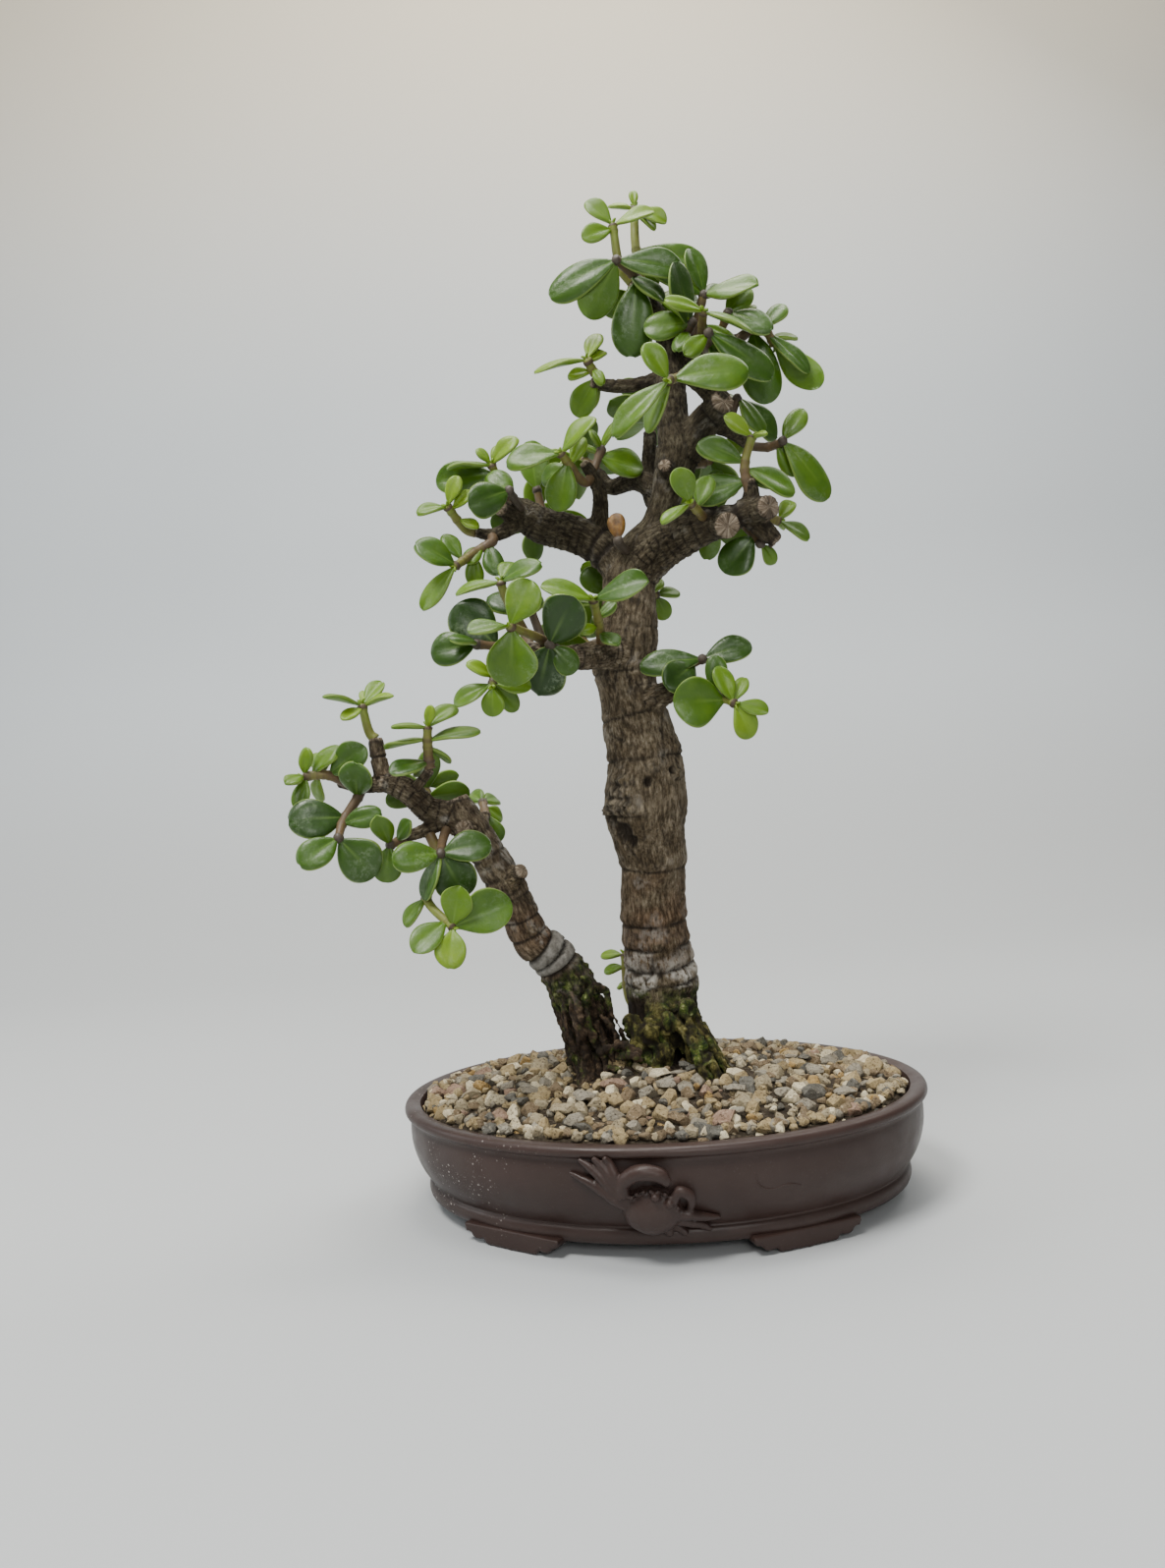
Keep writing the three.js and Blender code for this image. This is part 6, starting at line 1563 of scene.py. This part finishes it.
def gravel_pieces(finish, trunks):
    """Grains all over the soil, clear of the wall and set round the trunks."""
    draw = random_from(GRAIN_SEED)
    balls = {cuts: rock_shape(cuts) for cuts in (2, 3)}
    centres, radii = trunks
    parts = []
    for x, y, lift, size, flat, kind in grain_wishes():
        spin = turning_matrix(draw, 1.2 if flat > 0.5 else 0.3)
        stretch = np.array([1, mix(0.7, 1, draw()), flat])
        ball, faces = balls[3 if size > 2.8 else 2]
        rock = crushed(ball, draw)
        wall = 5.4 + 0.5 * size
        if (x / (POT_LENGTH / 2 - wall)) ** 2 + (y / (POT_DEPTH / 2 - wall)) ** 2 > 1:
            continue
        base = soil_top(x, y)
        near = np.abs(centres[:, 2] - base) < 4
        if np.any(np.hypot(centres[near, 0] - x, centres[near, 1] - y) < radii[near] + size * 0.3):
            continue
        points = (rock * stretch * size) @ spin.T + np.array([x, y, base + lift])
        # Painted shade: the lower part of each grain is darkened
        under = rising(points[:, 2], base + lift + 0.25 * size, base + lift - 0.6 * size)
        parts.append((points, faces, {"kind": np.full(len(points), kind), "under": under}))
    for name, some in (("gravel_low", parts[::2]), ("gravel_high", parts[1::2])):
        points, faces, values = joined_meshes(some)
        mesh_piece(name, "soil", points, faces, [finish], values, smooth=False)


def shoot_piece(shoot, index, wood, leaf_material, stem_material):
    draw = random_from(LOOK_SEED + index * 131)
    woody = [stem_mesh(shoot, wood)]
    leaves = [leaf_mesh(leaf, draw) for leaf in shoot["leaves"]]
    if shoot["ages"][1] < 0.5:
        leaves += [leaf_mesh(leaf, draw) for leaf in bud_leaves(shoot, draw)]
    else:
        woody.append(dry_tip(shoot))
    points, faces, values = joined_meshes([*woody, *leaves])
    picks = np.zeros(len(faces), int)
    picks[:sum(len(part[1]) for part in woody)] = 1
    name = f"shoot_{shoot['name']}"
    materials = [leaf_material, stem_material]
    mesh_piece(f"{name}_leaves", name, from_plant(points), faces, materials, values, picks)


def build():
    main_limbs = [TRUNK, *LIMBS, *ROOTS, *STUBS]
    second_limbs = [SECOND_TRUNK, *SECOND_LIMBS, *SECOND_ROOTS, *SECOND_STUBS]
    wood = balls_of([*main_limbs, *second_limbs])
    far_side = [back_shoot(row, index) for index, row in enumerate(BACK_SHOOTS)]
    shoots = settle([*map(seen_shoot, SEEN_SHOOTS), *far_side], wood)
    green, stem, withered = leaf_finish(), stem_finish(), withered_finish()
    for index, shoot in enumerate(shoots):
        shoot_piece(shoot, index, wood, withered if shoot["name"] == "withered" else green, stem)
    main_trunk(main_limbs, bark_finish("bark", (0.60, 0.56, 0.50)))
    second_trunk(second_limbs, bark_finish("bark_left", (0.50, 0.45, 0.42)))
    clay = clay_finish()
    for make in (pot_piece, feet_piece, crab_piece, scratch_piece):
        make(clay)
    screen_pieces(screen_finish())
    bed_piece(bed_finish())
    places, radii = wood
    low = places[:, 2] < 45
    gravel_pieces(gravel_finish(), (from_plant(places[low]), radii[low]))


# Studio
def area_light(name, place, target, size, power, colour):
    light = bpy.data.lights.new(name, "AREA")
    light.shape, light.size, light.energy, light.color = "SQUARE", size, power, colour
    lamp = bpy.data.objects.new(name, light)
    lamp.location = place
    lamp.rotation_mode = "QUATERNION"
    lamp.rotation_quaternion = (Vector(target) - Vector(place)).to_track_quat("-Z", "Y")
    bpy.context.scene.collection.objects.link(lamp)


def studio():
    world = bpy.data.worlds.new("soft_room")
    world.use_nodes = True
    room = world.node_tree.nodes["Background"]
    room.inputs["Color"].default_value = (0.88, 0.89, 0.88, 1)
    room.inputs["Strength"].default_value = 0.24
    bpy.context.scene.world = world
    middle = (0, 0, 0.15)
    area_light("top_panel", (0, 0.05, 1.25), (0, 0.05, 0), 0.55, 11, (1.0, 0.99, 0.97))
    area_light("key", (-0.24, -0.38, 0.85), middle, 0.26, 7.5, (1.0, 0.98, 0.94))
    area_light("front_window", (0.22, -0.85, 0.46), middle, 0.26, 2.6, (1.0, 0.99, 0.97))
    area_light("left_fill", (-0.95, -0.1, 0.5), middle, 0.6, 3.5, (0.95, 0.98, 1.0))
    area_light("back_rim", (0.5, 0.35, 0.95), middle, 0.4, 3, (1.0, 0.98, 0.95))
    area_light("wall_wash", (0, 0.30, 1.35), (0, 0.75, 0.95), 0.4, 3.4, (1.0, 0.83, 0.54))
    wall = Finish("pale_floor", Roughness=0.9)
    # The backdrop's colour: darker on the floor as painted shade, cool and a little uneven above it, and
    # warmer towards the top as a painted warm glow
    high = wall.axis("Z")
    cool = wall.ramp(wall.noise(3, 2), [(0.3, 0.56, 0.60, 0.63), (0.7, 0.59, 0.63, 0.66)])
    cool = wall.blend(wall.share(high, 0.02, 0.25), (0.47, 0.49, 0.50), cool)
    wall.colour(wall.blend(wall.share(high, 0.45, 0.95), cool, (0.72, 0.67, 0.56)))
    back, top, bend = 0.75, 1.8, 0.35
    profile = [(-3.0, 0.0), (back - bend, 0.0)]
    profile += [(back - bend + bend * math.sin(a), bend - bend * math.cos(a))
                for a in np.linspace(0, math.pi / 2, 13)[1:]]
    profile.append((back, top))
    points = from_plant([(right, away, up) for away, up in profile for right in (-3, 3)])
    faces = [[k, k + 1, k + 3, k + 2] for k in range(0, len(points) - 2, 2)]
    floor = placed_mesh("floor", points, faces, [wall.material])
    floor.data.polygons.foreach_set("use_smooth", np.full(len(faces), True))


def camera():
    data = bpy.data.cameras.new("camera")
    data.sensor_width = SENSOR
    data.lens = SENSOR * PHOTO_FOCAL / PHOTO_HIGH
    data.clip_start = 0.01
    eye = bpy.data.objects.new("camera", data)
    turn = Matrix.Rotation(VIEW_TURN, 4, "Z") @ Matrix.Rotation(math.pi / 2, 4, "X")
    turn = turn @ Matrix.Rotation(CAMERA_ROLL, 4, "Z")
    eye.matrix_world = Matrix.Translation(Vector(from_pot(from_plant(CAMERA_AT)))) @ turn
    bpy.context.scene.collection.objects.link(eye)
    bpy.context.scene.camera = eye


build()
studio()
camera()
